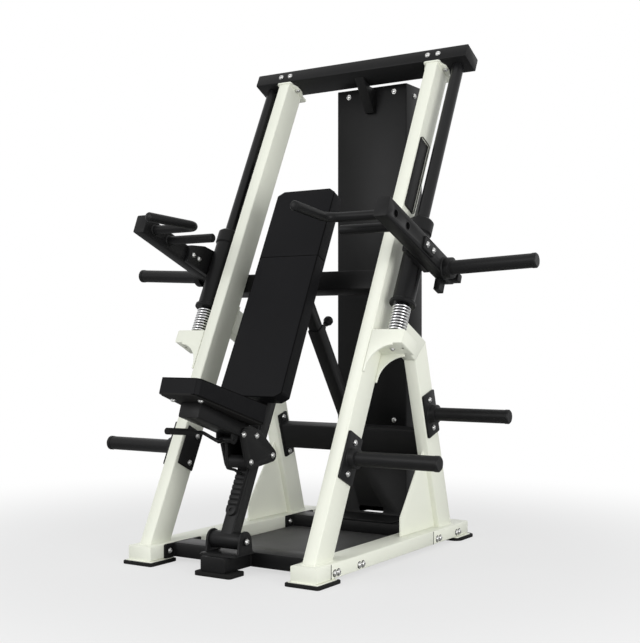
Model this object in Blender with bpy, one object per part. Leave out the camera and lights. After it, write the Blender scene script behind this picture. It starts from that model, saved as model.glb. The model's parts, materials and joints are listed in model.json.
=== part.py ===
"""Plate-loaded shoulder press machine, in metres, +Z up, standing on z = 0, X across, the user facing -Y.

Most of the machine leans back by one angle: the uprights, the guide rods and the bench spine are parallel.
Their pieces are modelled upright in the leaning frame, where y runs back from the uprights' front face and
z runs up along them from the top of the base rails.
"""

import math

import bmesh
import bpy
from mathutils import Matrix, Vector

# Clearances
GAP = 0.0003
PIN_PLAY = 0.0003
GUIDE_PLAY = 0.0005
OPEN_PIVOT_PLAY = 0.0023

# Tube walls, plates and bolts
WALL = 0.003
PLATE = 0.008
SHEET = 0.003
CORNER = 0.005
BOLT_HEAD = 0.005
VENT_R = 0.005

# Base
HALF_TRACK = 0.338
RAIL_WIDTH = 0.100
RAIL_HEIGHT = 0.050
RAIL_LENGTH = 1.106
RAIL_CLEARANCE = 0.015
FOOT_PLATE = 0.003
FOOT_PLATE_RIM = 0.008
FOOT_PLATE_LENGTH = 0.112
FOOT_RIM = 0.016
FRONT_FOOT_LENGTH = 0.140
REAR_FOOT_LENGTH = 0.150
REAR_FOOT_OVERHANG = 0.036
SEAM_WIDTH = 0.002
SEAM_DEPTH = 0.001
FRONT_SEAM_Y = 0.083
REAR_SEAM_Y = 0.805
BASE_BEAM_DEPTH = 0.100
FRONT_BEAM_Y = 0.118
REAR_BEAM_Y = 0.870
FLANGE_RUN = 0.050
DECK_THICKNESS = 0.005
STUB_WIDTH = 0.100
STUB_FRONT_Y = -0.027
CENTRE_FOOT_WIDTH = 0.150
CENTRE_FOOT_LENGTH = 0.080

# Uprights, crossbar and guide rods
LEAN = math.radians(26.07)
UPRIGHT_SETBACK = 0.0254
UPRIGHT_WIDTH = 0.050
UPRIGHT_DEPTH = 0.100
UPRIGHT_TOP = 1.972
TOP_FLANGE = 0.006
TOP_FLANGE_RIM = 0.010
TOP_FLANGE_TAIL = 0.028
CROSSBAR_OVERHANG = 0.0524
CROSSBAR_HEIGHT = 0.055
CROSSBAR_DEPTH = 0.0993
CROSSBAR_FRONT = -0.0057
ROD_STANDOFF = 0.064
ROD_Y = 0.050
ROD_R = 0.0225
ROD_WALL = 0.005
UPPER_BEAM_Z = 1.047
UPPER_BEAM_HEIGHT = 0.080
UPPER_BEAM_DEPTH = 0.050

# Spring brackets and springs
BRACKET_TOP = 0.833
BRACKET_HEIGHT = 0.051
BRACKET_REACH = 0.125
GUSSET_DROP = 0.106
GUSSET_TIP = 0.0065
GUSSET_RUN = 0.089
GUSSET_ARC_R = 0.090
SEAT_DISC_R = 0.0375
SEAT_DISC_THICKNESS = 0.0035
SPRING_R = 0.0297
SPRING_WIRE_R = 0.0033
SPRING_CURLS = 9.5
CURL_POINTS = 9

# Rear frame
STRUT_LOW = 0.872
STRUT_HEIGHT = 0.100
LEG_TILT = math.radians(17.03)
LEG_FOOT_Y = 0.9574
LEG_WIDTH = 0.050
LEG_DEPTH = 0.100
LEG_GUSSET = 0.006
LEG_GUSSET_FRONT_Y = 0.636
LEG_GUSSET_STEP = 0.068
LEG_GUSSET_TOP_Z = 0.363
LOWER_BEAM_UP = 0.293
LOWER_BEAM_HEIGHT = 0.100
LOWER_BEAM_DEPTH = 0.050
LOWER_FLANGE_HEIGHT = 0.180
LOWER_FLANGE_WIDTH = 0.060

# Tower
TOWER_HALF = 0.1612
TOWER_STANDOFF = 0.0429
TOWER_DEPTH = 0.1395
TOWER_RISE = 0.0053
TOWER_JOINT_Z = 0.4225
TOWER_PLATE = 0.006
TOWER_PLATE_RIM = 0.014
TOWER_SLOT_WIDTH = 0.112
TOWER_SLOT_HEIGHT = 0.023
TOWER_SLOT_Z = 0.0905
TOWER_CORNER = 0.006
BRACE_HALF = 0.020
BRACE_FRONT = 0.030
BRACE_DROP = 0.1046
BRACE_TOE = 0.014

# Storage and loading horns
HORN_R = 0.025
HORN_WALL = 0.004
FRONT_HORN_LENGTH = 0.331
REAR_HORN_LENGTH = 0.320
STORAGE_COLLAR_R = 0.035
COLLAR_LENGTH = 0.028
HORN_PLATE_LONG = 0.165
HORN_PLATE_WIDE = 0.090
FRONT_HORN_UP = 0.382
REAR_HORN_UP = 0.455
LOADING_LENGTH = 0.336
LOADING_COLLAR_R = 0.0375
LOADING_HORN_INSET = 0.082
LOADING_HORN_UP = 0.025
LOADING_TILT = math.radians(3.0)
HORN_CHAMFER = 0.003

# Carriages: sleeve, arm and handles, at rest on the springs
SLEEVE_BOTTOM = 0.948
SLEEVE_R = 0.0395
SLEEVE_COLLAR_R = 0.047
SLEEVE_COLLAR = 0.012
SLEEVE_TOP = 1.290
HOUSING_BOTTOM = 1.236
HOUSING_R = 0.0445
BUSH_LENGTH = 0.060
SLEEVE_WALL = 0.006
ARM_STANDOFF = 0.081
ARM_WIDTH = 0.050
ARM_HEIGHT = 0.070
ARM_LENGTH = 0.530
ARM_FRONT_Y = -0.3447
ARM_FRONT_Z = 1.0636
ARM_RISE = math.radians(4.0)
PLATE_EAR_R = 0.040
PLATE_EAR_Y = -0.014
PLATE_EAR_Z = 1.148
PLATE_BACK_R = 0.036
PLATE_BACK_Y = 0.040
PLATE_BACK_Z = 1.163
PLATE_START = 0.250
PLATE_END = 0.430
ARM_STOP_REACH = 0.028
ARM_STOP_SIZE = 0.030
ARM_LUG_WIDTH = 0.022
ARM_LUG_DROP = 0.040
ARM_LUG_LENGTH = 0.040
ARM_LUG_INSET = 0.012
HANDLE_R = 0.0165
HANDLE_BORE_R = 0.0125
HANDLE_BORE = 0.040
FRONT_HANDLE_ALONG = 0.055
REAR_HANDLE_ALONG = 0.143
HANDLE_REACH_X = 0.272
GRIP_LENGTH = 0.250
GRIP_SPREAD = 0.030
GRIP_RISE = 0.016
GRIP_BEND_R = 0.045

# Bench: spine, rack and backrest
PIVOT_UP = 0.055
SPINE_Y = 0.013
SPINE_SIZE = 0.050
SPINE_TOP = 1.180
BARREL_R = 0.029
BARREL_HALF = 0.0617
PIVOT_R = 0.008
PIVOT_HEAD_R = 0.013
CLEVIS_EAR_R = 0.034
CLEVIS_PLATE = 0.006
CLEVIS_FRONT_Y = -0.004
CLEVIS_BACK_Y = 0.112
RACK_WIDTH = 0.040
RACK_THICKNESS = 0.0105
RACK_LOW = 0.130
RACK_TOP = 0.520
NOTCH_PITCH = 0.018
NOTCH_HEIGHT = 0.008
NOTCH_DEPTH = 0.005
NOTCH_COUNT = 12
FIRST_NOTCH = 0.165
RACK_HOLE_R = 0.006
STRAP_HALF = 0.095
STRAP_HEIGHT = 0.040
LOWER_STRAP_Z = 0.640
UPPER_STRAP_Z = 1.240
BACK_LOW = 0.531
BACK_HIGH = 1.362
BACK_HALF = 0.1285
BACK_TOP_HALF = 0.1225
BACK_FRONT = -0.094
BACK_THICKNESS = 0.055
BACK_CORNER = (0.026, 0.017)
BOARD = 0.012
BOARD_RIM = 0.012
BACK_SEAM_Z = 1.082

# Bench strut
STRUT_FOOT_UP = 0.036
STRUT_SIZE = 0.050
STRUT_INNER = 0.040
STRUT_OUTER_LENGTH = 0.415
STRUT_INNER_FOOT = 0.130
STRUT_HEAD_Y = 0.073
STRUT_HEAD_Z = 0.9976
STRUT_EYE = 0.014
STRUT_SOLID = 0.040
STRUT_PIN_R = 0.008
STRUT_EAR = 0.008
STRUT_EAR_R = 0.016
HEAD_PIN_R = 0.006
PULL_PIN_UP = 0.390
PULL_PIN_R = 0.006
PULL_HOUSING_R = 0.011
PULL_HOUSING = 0.022
PULL_KNOB_R = 0.018
PULL_KNOB = 0.036
PULL_KNOB_OUT = 0.058
STRUT_HOLE_PITCH = 0.025
STRUT_HOLE_COUNT = 5

# Seat
SEAT_NOSE_Y = -0.213
SEAT_NOSE_Z = 0.603
SEAT_TILT = math.radians(18.5)
SEAT_WEDGE = math.radians(2.0)
SEAT_LENGTH = 0.365
SEAT_FRONT_HALF = 0.072
SEAT_REAR_HALF = 0.100
SEAT_THICKNESS = 0.048
SEAT_CORNER = (0.010, 0.012)
SEAT_BOARD = 0.010
SEAT_BOARD_RIM = 0.004
SEAT_TUBE_WIDTH = 0.080
SEAT_TUBE_HEIGHT = 0.050
SEAT_TUBE_FRONT = 0.080
SEAT_TUBE_REAR = 0.405
FRONT_BUSH_R = 0.022
FRONT_BUSH_Z = 0.3117
REAR_BUSH_R = 0.0255
REAR_BUSH_Z = 0.379
BUSH_BOLT_R = 0.006
BUSH_HEAD_R = 0.010
PLATE_NOSE_Y = -0.116
PLATE_NOSE_Z = 0.383
PLATE_TOP_Y = -0.045
PLATE_TOP_Z = 0.407
PLATE_ROUND = 0.022
LEVER_Y = 0.048
LEVER_Z = 0.444
LEVER_HUB_R = 0.010
LEVER_HUB_HALF = 0.0274
LEVER_PIN_R = 0.005
LEVER_EAR = 0.006
LEVER_EAR_R = 0.014
LEVER_ROD_R = 0.006
LEVER_ROOT_X = -0.012
LEVER_SIDE_X = -0.052
LEVER_STEPS_Y = (0.030, 0.060, 0.240)
LEVER_STEPS_Z = (-0.004, 0.026, 0.043)
LEVER_BEND_R = 0.014
GRIP_R = 0.011
LEVER_GRIP_LENGTH = 0.130
GRIP_CAP = 0.004
PAWL_R = 0.005
PAWL_BEND_R = 0.010
PAWL_SHANK = 0.094
PAWL_SHANK_Y = 0.004
PAWL_TOE = 0.035
PAWL_NOTCH = 6

# Colours: base colour, roughness, metallic
FINISHES = {
    "cream_powder_coat": ((0.86, 0.87, 0.80), 0.42, 0.0),
    "black_powder_coat": ((0.030, 0.030, 0.032), 0.45, 0.0),
    "black_leatherette": ((0.022, 0.022, 0.025), 0.55, 0.0),
    "chrome": ((0.80, 0.80, 0.80), 0.12, 1.0),
    "zinc_steel": ((0.62, 0.62, 0.62), 0.30, 1.0),
    "black_rubber": ((0.018, 0.018, 0.018), 0.80, 0.0),
    "black_nylon": ((0.035, 0.035, 0.037), 0.55, 0.0),
    "black_board": ((0.028, 0.027, 0.026), 0.75, 0.0),
    "grey_deck": ((0.17, 0.17, 0.17), 0.60, 0.0),
}

# Heights and places that follow from the sizes above
RAIL_TOP = RAIL_CLEARANCE + RAIL_HEIGHT
RAIL_INNER = HALF_TRACK - RAIL_WIDTH / 2
UPRIGHT_INNER = HALF_TRACK - UPRIGHT_WIDTH / 2
UPRIGHT_OUTER = HALF_TRACK + UPRIGHT_WIDTH / 2
ROD_X = UPRIGHT_OUTER + ROD_STANDOFF
CROSSBAR_HALF = ROD_X + CROSSBAR_OVERHANG
ARM_X = ROD_X + ARM_STANDOFF
ARM_INNER = ARM_X - ARM_WIDTH / 2
ARM_OUTER = ARM_X + ARM_WIDTH / 2
CROSSBAR_BACK = CROSSBAR_FRONT + CROSSBAR_DEPTH
CROSSBAR_REAR_Y = UPRIGHT_SETBACK + CROSSBAR_BACK * math.cos(LEAN) + UPRIGHT_TOP * math.sin(LEAN)
CROSSBAR_REAR_Z = RAIL_TOP - CROSSBAR_BACK * math.sin(LEAN) + UPRIGHT_TOP * math.cos(LEAN)
TOWER_FRONT_Y = CROSSBAR_REAR_Y + TOWER_STANDOFF
TOWER_BACK_Y = TOWER_FRONT_Y + TOWER_DEPTH
TOWER_TOP_Z = CROSSBAR_REAR_Z + TOWER_RISE
BRACE_BOTTOM_Z = TOWER_TOP_Z - BRACE_DROP
SPINE_FRONT = SPINE_Y - SPINE_SIZE / 2
SPINE_BACK = SPINE_Y + SPINE_SIZE / 2
RACK_FRONT = SPINE_FRONT - RACK_THICKNESS
ORIGIN_Y = (SEAT_NOSE_Y + TOWER_BACK_Y) / 2


def clear_scene():
    for thing in list(bpy.data.objects):
        bpy.data.objects.remove(thing, do_unlink=True)


def make_materials():
    made = {}
    for name, (colour, roughness, metallic) in FINISHES.items():
        material = bpy.data.materials.new(name)
        material.use_nodes = True
        shader = material.node_tree.nodes["Principled BSDF"]
        shader.inputs["Base Color"].default_value = (*colour, 1.0)
        shader.inputs["Roughness"].default_value = roughness
        shader.inputs["Metallic"].default_value = metallic
        made[name] = material
    return made


def frame(name, parent, place, turn=0.0):
    """An empty at place under parent, turned about X."""
    empty = bpy.data.objects.new(name, None)
    bpy.context.scene.collection.objects.link(empty)
    empty.parent = parent
    empty.location = place
    empty.rotation_euler = (turn, 0.0, 0.0)
    return empty


def lean_point(depth, up):
    """Base y and z of a point given in the leaning frame."""
    y = UPRIGHT_SETBACK + up * math.sin(LEAN) + depth * math.cos(LEAN)
    z = RAIL_TOP + up * math.cos(LEAN) - depth * math.sin(LEAN)
    return y, z


def to_lean(y, z):
    """Depth and height in the leaning frame of a point given by its base y and z."""
    y = y - UPRIGHT_SETBACK
    z = z - RAIL_TOP
    return y * math.cos(LEAN) - z * math.sin(LEAN), y * math.sin(LEAN) + z * math.cos(LEAN)


# Outlines, each a list of points going once round


def rectangle(u0, v0, u1, v1):
    return [(u0, v0), (u1, v0), (u1, v1), (u0, v1)]


def arc(centre, radius, start, end, steps):
    """Points on an arc, with the angles in degrees."""
    points = []
    for i in range(steps + 1):
        angle = math.radians(start + (end - start) * i / steps)
        points.append((centre[0] + radius * math.cos(angle), centre[1] + radius * math.sin(angle)))
    return points


def rounded(u0, v0, u1, v1, radius, steps=2):
    """A rectangle with round corners."""
    points = arc((u1 - radius, v0 + radius), radius, -90, 0, steps)
    points += arc((u1 - radius, v1 - radius), radius, 0, 90, steps)
    points += arc((u0 + radius, v1 - radius), radius, 90, 180, steps)
    points += arc((u0 + radius, v0 + radius), radius, 180, 270, steps)
    return points


def hull(points):
    """The convex outline round a set of points."""
    ordered = sorted(set(points))

    def half(run):
        chain = []
        for p in run:
            while len(chain) > 1 and cross(chain[-2], chain[-1], p) <= 1e-12:
                chain.pop()
            chain.append(p)
        return chain[:-1]

    def cross(o, a, b):
        return (a[0] - o[0]) * (b[1] - o[1]) - (a[1] - o[1]) * (b[0] - o[0])

    return half(ordered) + half(reversed(ordered))


def disc_points(centre, radius, steps=24):
    return arc(centre, radius, 0, 360, steps)[:-1]


# Solids, each a mesh of one closed body


def spot(axis, u, v, w):
    """A 3-D point from a place in an outline's plane and a height along its axis."""
    return {"x": (w, u, v), "y": (u, w, v), "z": (u, v, w)}[axis]


def height(level, point):
    return level(point) if callable(level) else level


def finish(mesh):
    bmesh.ops.recalc_face_normals(mesh, faces=mesh.faces)
    return mesh


def prism(outline, axis, low, high):
    """An outline run along an axis. Low and high are heights, or functions of the outline's point."""
    mesh = bmesh.new()
    ends = []
    for level in (low, high):
        ends.append([mesh.verts.new(spot(axis, p[0], p[1], height(level, p))) for p in outline])
    count = len(outline)
    for i in range(count):
        j = (i + 1) % count
        mesh.faces.new((ends[0][i], ends[0][j], ends[1][j], ends[1][i]))
    mesh.faces.new(ends[0])
    mesh.faces.new(ends[1])
    return finish(mesh)


def tube(outer, inner, axis, low, high):
    """An open tube between two outlines that have as many points."""
    mesh = bmesh.new()
    rings = []
    for outline in (outer, inner):
        for level in (low, high):
            rings.append([mesh.verts.new(spot(axis, p[0], p[1], height(level, p))) for p in outline])
    count = len(outer)
    for i in range(count):
        j = (i + 1) % count
        for a, b in ((0, 1), (1, 3), (3, 2), (2, 0)):
            mesh.faces.new((rings[a][i], rings[a][j], rings[b][j], rings[b][i]))
    return finish(mesh)


def box_tube(u0, v0, u1, v1, axis, low, high, wall=WALL, corner=CORNER):
    outer = rounded(u0, v0, u1, v1, corner)
    inner_corner = max(corner - wall, 0.0005)
    inner = rounded(u0 + wall, v0 + wall, u1 - wall, v1 - wall, inner_corner)
    return tube(outer, inner, axis, low, high)


def turned(profile, axis, centre, steps=24, closed=False):
    """A profile of (radius, height) points turned about a line through centre along an axis."""
    mesh = bmesh.new()
    rings = []
    for radius, along in profile:
        ring = []
        for i in range(steps if radius > 0 else 1):
            angle = 2 * math.pi * (i + 0.5) / steps
            u = radius * math.cos(angle)
            v = radius * math.sin(angle)
            ring.append(mesh.verts.new(Vector(spot(axis, u, v, along)) + Vector(centre)))
        rings.append(ring)
    pairs = list(zip(rings, rings[1:]))
    if closed:
        pairs.append((rings[-1], rings[0]))
    for a, b in pairs:
        for i in range(steps):
            j = (i + 1) % steps
            corners = [a[i % len(a)], a[j % len(a)], b[j % len(b)], b[i % len(b)]]
            face = list(dict.fromkeys(corners))
            if len(face) > 2:
                mesh.faces.new(face)
    return finish(mesh)


def cylinder(radius, axis, centre, low, high, steps=24):
    return turned([(0, low), (radius, low), (radius, high), (0, high)], axis, centre, steps)


def swept(path, radius, sides=16, dome=0.0):
    """A round bar along a path, with its far end domed where dome is more than 0."""
    points = [Vector(p) for p in path]
    radii = [radius] * len(points)
    if dome > 0:
        last = points[-1]
        way = (points[-1] - points[-2]).normalized()
        points[-1] = last - way * dome
        for turn in (30, 60, 80):
            angle = math.radians(turn)
            points.append(last - way * dome * (1 - math.sin(angle)))
            radii.append(radius * math.cos(angle))
    mesh = bmesh.new()
    rings = []
    side = None
    for i, point in enumerate(points):
        ahead = points[min(i + 1, len(points) - 1)] - points[max(i - 1, 0)]
        ahead.normalize()
        if side is None:
            side = ahead.orthogonal().normalized()
        side = (side - ahead * side.dot(ahead)).normalized()
        other = ahead.cross(side)
        ring = []
        for k in range(sides):
            angle = 2 * math.pi * k / sides
            ring.append(mesh.verts.new(point + (side * math.cos(angle) + other * math.sin(angle)) * radii[i]))
        rings.append(ring)
    for a, b in zip(rings, rings[1:]):
        for k in range(sides):
            mesh.faces.new((a[k], a[(k + 1) % sides], b[(k + 1) % sides], b[k]))
    mesh.faces.new(rings[0])
    mesh.faces.new(rings[-1])
    return finish(mesh)


def bent_path(points, radius, steps=6):
    """A path through points with its corners rounded to one radius."""
    points = [Vector(p) for p in points]
    path = [points[0]]
    for before, corner, after in zip(points, points[1:], points[2:]):
        into = (before - corner).normalized()
        out = (after - corner).normalized()
        half = into.angle(out) / 2
        run = radius / math.tan(half)
        centre = corner + (into + out).normalized() * radius / math.sin(half)
        start = corner + into * run - centre
        end = corner + out * run - centre
        span = start.angle(end)
        for i in range(steps + 1):
            share = i / steps
            bend = start * math.sin((1 - share) * span) + end * math.sin(share * span)
            path.append(centre + bend / math.sin(span))
    path.append(points[-1])
    return path


def moved(mesh, offset=(0, 0, 0), turn=0.0):
    """The mesh turned about X, then shifted."""
    bmesh.ops.transform(mesh, matrix=Matrix.Translation(offset) @ Matrix.Rotation(turn, 4, "X"), verts=mesh.verts)
    return mesh


def together(meshes):
    """Several closed bodies that don't meet, as one cutter."""
    whole = bmesh.new()
    for mesh in meshes:
        scratch = bpy.data.meshes.new("scratch")
        mesh.to_mesh(scratch)
        mesh.free()
        whole.from_mesh(scratch)
        bpy.data.meshes.remove(scratch)
    return whole


def as_object(mesh, name):
    data = bpy.data.meshes.new(name)
    mesh.to_mesh(data)
    mesh.free()
    thing = bpy.data.objects.new(name, data)
    bpy.context.scene.collection.objects.link(thing)
    return thing


def shaped(mesh, *steps):
    """The mesh after a row of (UNION or DIFFERENCE, mesh) steps."""
    for operation, other in steps:
        body = as_object(mesh, "body")
        tool = as_object(other, "tool")
        modifier = body.modifiers.new("step", "BOOLEAN")
        modifier.operation = operation
        modifier.object = tool
        bpy.context.view_layer.update()
        graph = bpy.context.evaluated_depsgraph_get()
        mesh = bmesh.new()
        mesh.from_mesh(body.evaluated_get(graph).to_mesh())
        bmesh.ops.remove_doubles(mesh, verts=mesh.verts, dist=1e-6)
        for thing in (body, tool):
            data = thing.data
            bpy.data.objects.remove(thing, do_unlink=True)
            bpy.data.meshes.remove(data)
    return mesh


def mirrored(mesh, side):
    """The mesh itself for side 1, its mirror image for side -1."""
    if side < 0:
        bmesh.ops.transform(mesh, matrix=Matrix.Scale(-1, 4, (1, 0, 0)), verts=mesh.verts)
        bmesh.ops.reverse_faces(mesh, faces=mesh.faces)
    return mesh


def piece(name, mesh, parent, finish_name, smooth=False):
    """A named part made from a mesh that is given in its parent's frame."""
    part = as_object(mesh, name)
    part.parent = parent
    part.data.materials.append(MATERIALS[finish_name])
    if smooth:
        part.data.shade_smooth()
        part.data.set_sharp_from_angle(angle=math.radians(30))
    return part


# Base


def closed_box(u0, v0, u1, v1, axis, low, high, vent):
    """A box tube whose ends are closed, with the vent that a coated closed tube has, an (axis, centre, low, high)."""
    inner = rounded(u0 + WALL, v0 + WALL, u1 - WALL, v1 - WALL, CORNER - WALL)
    return shaped(
        prism(rounded(u0, v0, u1, v1, CORNER), axis, low, high),
        ("DIFFERENCE", prism(inner, axis, low + WALL, high - WALL)),
        ("DIFFERENCE", cylinder(VENT_R, vent[0], vent[1], vent[2], vent[3], 12)),
    )


def base_rail(side):
    outer_x = HALF_TRACK + RAIL_WIDTH / 2
    vent = ("z", (HALF_TRACK, RAIL_LENGTH / 2, 0), RAIL_CLEARANCE - 0.001, RAIL_CLEARANCE + 2 * WALL)
    mesh = closed_box(RAIL_INNER, RAIL_CLEARANCE, outer_x, RAIL_TOP, "y", 0, RAIL_LENGTH, vent)
    grooves = []
    for y in (FRONT_SEAM_Y, REAR_SEAM_Y):
        groove = rectangle(y, RAIL_CLEARANCE - 0.001, y + SEAM_WIDTH, RAIL_TOP + 0.001)
        grooves.append(prism(groove, "x", outer_x - SEAM_DEPTH, outer_x + 0.001))
    mesh = shaped(mesh, ("DIFFERENCE", together(grooves)))
    low = RAIL_CLEARANCE - FOOT_PLATE
    x0 = RAIL_INNER - FOOT_PLATE_RIM
    x1 = outer_x + FOOT_PLATE_RIM
    front = prism(rounded(x0, -FOOT_PLATE_RIM, x1, FOOT_PLATE_LENGTH, CORNER), "z", low, RAIL_CLEARANCE)
    y0 = RAIL_LENGTH - FOOT_PLATE_LENGTH
    rear = prism(rounded(x0, y0, x1, RAIL_LENGTH + FOOT_PLATE_RIM, CORNER), "z", low, RAIL_CLEARANCE)
    return mirrored(shaped(mesh, ("UNION", front), ("UNION", rear)), side)


def rubber_foot(side, y0, y1, corner):
    half = RAIL_WIDTH / 2 + FOOT_RIM
    outline = rounded(HALF_TRACK - half, y0, HALF_TRACK + half, y1, corner, 4)
    return mirrored(prism(outline, "z", 0, RAIL_CLEARANCE - FOOT_PLATE - GAP), side)


def base_beam(front_y):
    """A box tube across the base, with the bolting flange welded to each of its ends."""
    half = RAIL_INNER - GAP - PLATE / 2
    middle = front_y + BASE_BEAM_DEPTH / 2
    vent = ("z", (0.1, middle, 0), RAIL_CLEARANCE - 0.001, RAIL_CLEARANCE + 2 * WALL)
    mesh = closed_box(front_y, RAIL_CLEARANCE, front_y + BASE_BEAM_DEPTH, RAIL_TOP, "x", -half, half, vent)
    low = RAIL_CLEARANCE + GAP
    outline = rounded(front_y - FLANGE_RUN, low, front_y + BASE_BEAM_DEPTH + FLANGE_RUN, RAIL_TOP - GAP, CORNER)
    for side in (-1, 1):
        flange = prism(outline, "x", RAIL_INNER - GAP - PLATE, RAIL_INNER - GAP)
        mesh = shaped(mesh, ("UNION", mirrored(flange, side)))
    return mesh


def centre_stub():
    half = STUB_WIDTH / 2
    back = FRONT_BEAM_Y - GAP
    inner = rounded(-half + WALL, RAIL_CLEARANCE + WALL, half - WALL, RAIL_TOP - WALL, CORNER - WALL)
    return shaped(
        prism(rounded(-half, RAIL_CLEARANCE, half, RAIL_TOP, CORNER), "y", STUB_FRONT_Y, back),
        ("DIFFERENCE", prism(inner, "y", STUB_FRONT_Y + WALL, back + 0.01)),
    )


def centre_foot():
    half = CENTRE_FOOT_WIDTH / 2
    outline = rounded(-half, STUB_FRONT_Y - 0.006, half, STUB_FRONT_Y + CENTRE_FOOT_LENGTH, 0.012, 4)
    return prism(outline, "z", 0, RAIL_CLEARANCE - GAP)


def pivot_clevis():
    """Two round-topped ears on a plate, given round the bench's pivot."""
    y, z = lean_point(SPINE_Y, PIVOT_UP)
    ear_in = BARREL_HALF + GAP
    ear_out = ear_in + PLATE
    floor = RAIL_TOP + GAP - z
    plate = rounded(-ear_out, CLEVIS_FRONT_Y - y, ear_out, CLEVIS_BACK_Y - y, CORNER)
    mesh = prism(plate, "z", floor, floor + CLEVIS_PLATE)
    outline = [(CLEVIS_EAR_R + 0.006, floor + 0.001)] + arc((0, 0), CLEVIS_EAR_R, 0, 180, 16)
    outline += [(-CLEVIS_EAR_R - 0.006, floor + 0.001)]
    for side in (-1, 1):
        mesh = shaped(mesh, ("UNION", mirrored(prism(outline, "x", ear_in, ear_out), side)))
    reach = ear_out + 0.01
    return shaped(mesh, ("DIFFERENCE", cylinder(PIVOT_R + PIN_PLAY, "x", (0, 0, 0), -reach, reach)))


def headed_pin(radius, head_radius, half, head):
    """A pin along X with a round head outside each of the walls that it holds."""
    inner = half + GAP
    profile = [(0, -inner - head), (head_radius - 0.001, -inner - head), (head_radius, -inner - head + 0.001)]
    profile += [(head_radius, -inner), (radius, -inner), (radius, inner), (head_radius, inner)]
    profile += [(head_radius, inner + head - 0.001), (head_radius - 0.001, inner + head), (0, inner + head)]
    return turned(profile, "x", (0, 0, 0))


def deck_plate():
    half = RAIL_INNER - GAP - PLATE - GAP
    outline = rectangle(-half, FRONT_BEAM_Y + BASE_BEAM_DEPTH + GAP, half, REAR_BEAM_Y - GAP)
    return prism(outline, "z", RAIL_CLEARANCE, RAIL_CLEARANCE + DECK_THICKNESS)


# Uprights, crossbar, rods and brackets, in the leaning frame


def rail_cut(point):
    """Height in the leaning frame of the rails' top face below a point of an upright's section."""
    return point[1] * math.tan(LEAN) + GAP / math.cos(LEAN)


def upright(side):
    """A box tube mitred onto its rail, with the bolting flange that carries the crossbar welded on top."""
    top = UPRIGHT_TOP - GAP
    mesh = box_tube(UPRIGHT_INNER, 0, UPRIGHT_OUTER, UPRIGHT_DEPTH, "z", rail_cut, top - TOP_FLANGE / 2)
    x0 = UPRIGHT_INNER - TOP_FLANGE_RIM
    x1 = UPRIGHT_OUTER + TOP_FLANGE_RIM
    plate = rounded(x0, CROSSBAR_FRONT, x1, UPRIGHT_DEPTH + TOP_FLANGE_TAIL, TOP_FLANGE_RIM, 4)
    mesh = shaped(mesh, ("UNION", prism(plate, "z", top - TOP_FLANGE, top)))
    return mirrored(mesh, side)


def crossbar():
    y0 = CROSSBAR_FRONT
    y1 = CROSSBAR_BACK
    z1 = UPRIGHT_TOP + CROSSBAR_HEIGHT
    vent = ("y", (CROSSBAR_HALF / 2, 0, UPRIGHT_TOP + CROSSBAR_HEIGHT / 2), y1 - 2 * WALL, y1 + 0.001)
    return closed_box(y0, UPRIGHT_TOP, y1, z1, "x", -CROSSBAR_HALF, CROSSBAR_HALF, vent)


def upper_beam():
    y0 = UPRIGHT_DEPTH + GAP
    z1 = UPPER_BEAM_Z + UPPER_BEAM_HEIGHT
    return box_tube(y0, UPPER_BEAM_Z, y0 + UPPER_BEAM_DEPTH, z1, "x", -UPRIGHT_OUTER, UPRIGHT_OUTER)


def spring_bracket(side):
    """A box on the upright's outer face, with an arched gusset plate under its front and its rear edge."""
    x0 = UPRIGHT_OUTER + GAP
    x1 = x0 + BRACKET_REACH
    z0 = BRACKET_TOP - BRACKET_HEIGHT
    vent = ("z", (x1 - 0.02, UPRIGHT_DEPTH / 2, 0), z0 - 0.001, z0 + 2 * WALL)
    mesh = closed_box(x0, z0, x1, BRACKET_TOP, "y", 0, UPRIGHT_DEPTH, vent)
    centre = (x0 + GUSSET_TIP + GUSSET_ARC_R, z0 - GUSSET_DROP + 0.010)
    end_x = x0 + GUSSET_RUN
    end = math.degrees(math.acos((end_x - centre[0]) / GUSSET_ARC_R))
    outline = [(x0, z0 + WALL / 2), (x0, z0 - GUSSET_DROP), (x0 + GUSSET_TIP, z0 - GUSSET_DROP)]
    outline += arc(centre, GUSSET_ARC_R, 180, end, 12) + [(end_x, z0 + WALL / 2)]
    for y in (0, UPRIGHT_DEPTH - PLATE):
        mesh = shaped(mesh, ("UNION", prism(outline, "y", y, y + PLATE)))
    return mirrored(mesh, side)


def guide_rod():
    low = BRACKET_TOP + GAP
    high = UPRIGHT_TOP - GAP
    bore = ROD_R - ROD_WALL
    return turned([(ROD_R, low), (ROD_R, high), (bore, high), (bore, low)], "z", (0, 0, 0), closed=True)


def spring_seat():
    low = BRACKET_TOP + GAP
    high = low + SEAT_DISC_THICKNESS
    bore = ROD_R + GAP
    profile = [(bore, low), (SEAT_DISC_R, low), (SEAT_DISC_R, high - 0.001), (SEAT_DISC_R - 0.001, high), (bore, high)]
    return turned(profile, "z", (0, 0, 0), closed=True)


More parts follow.
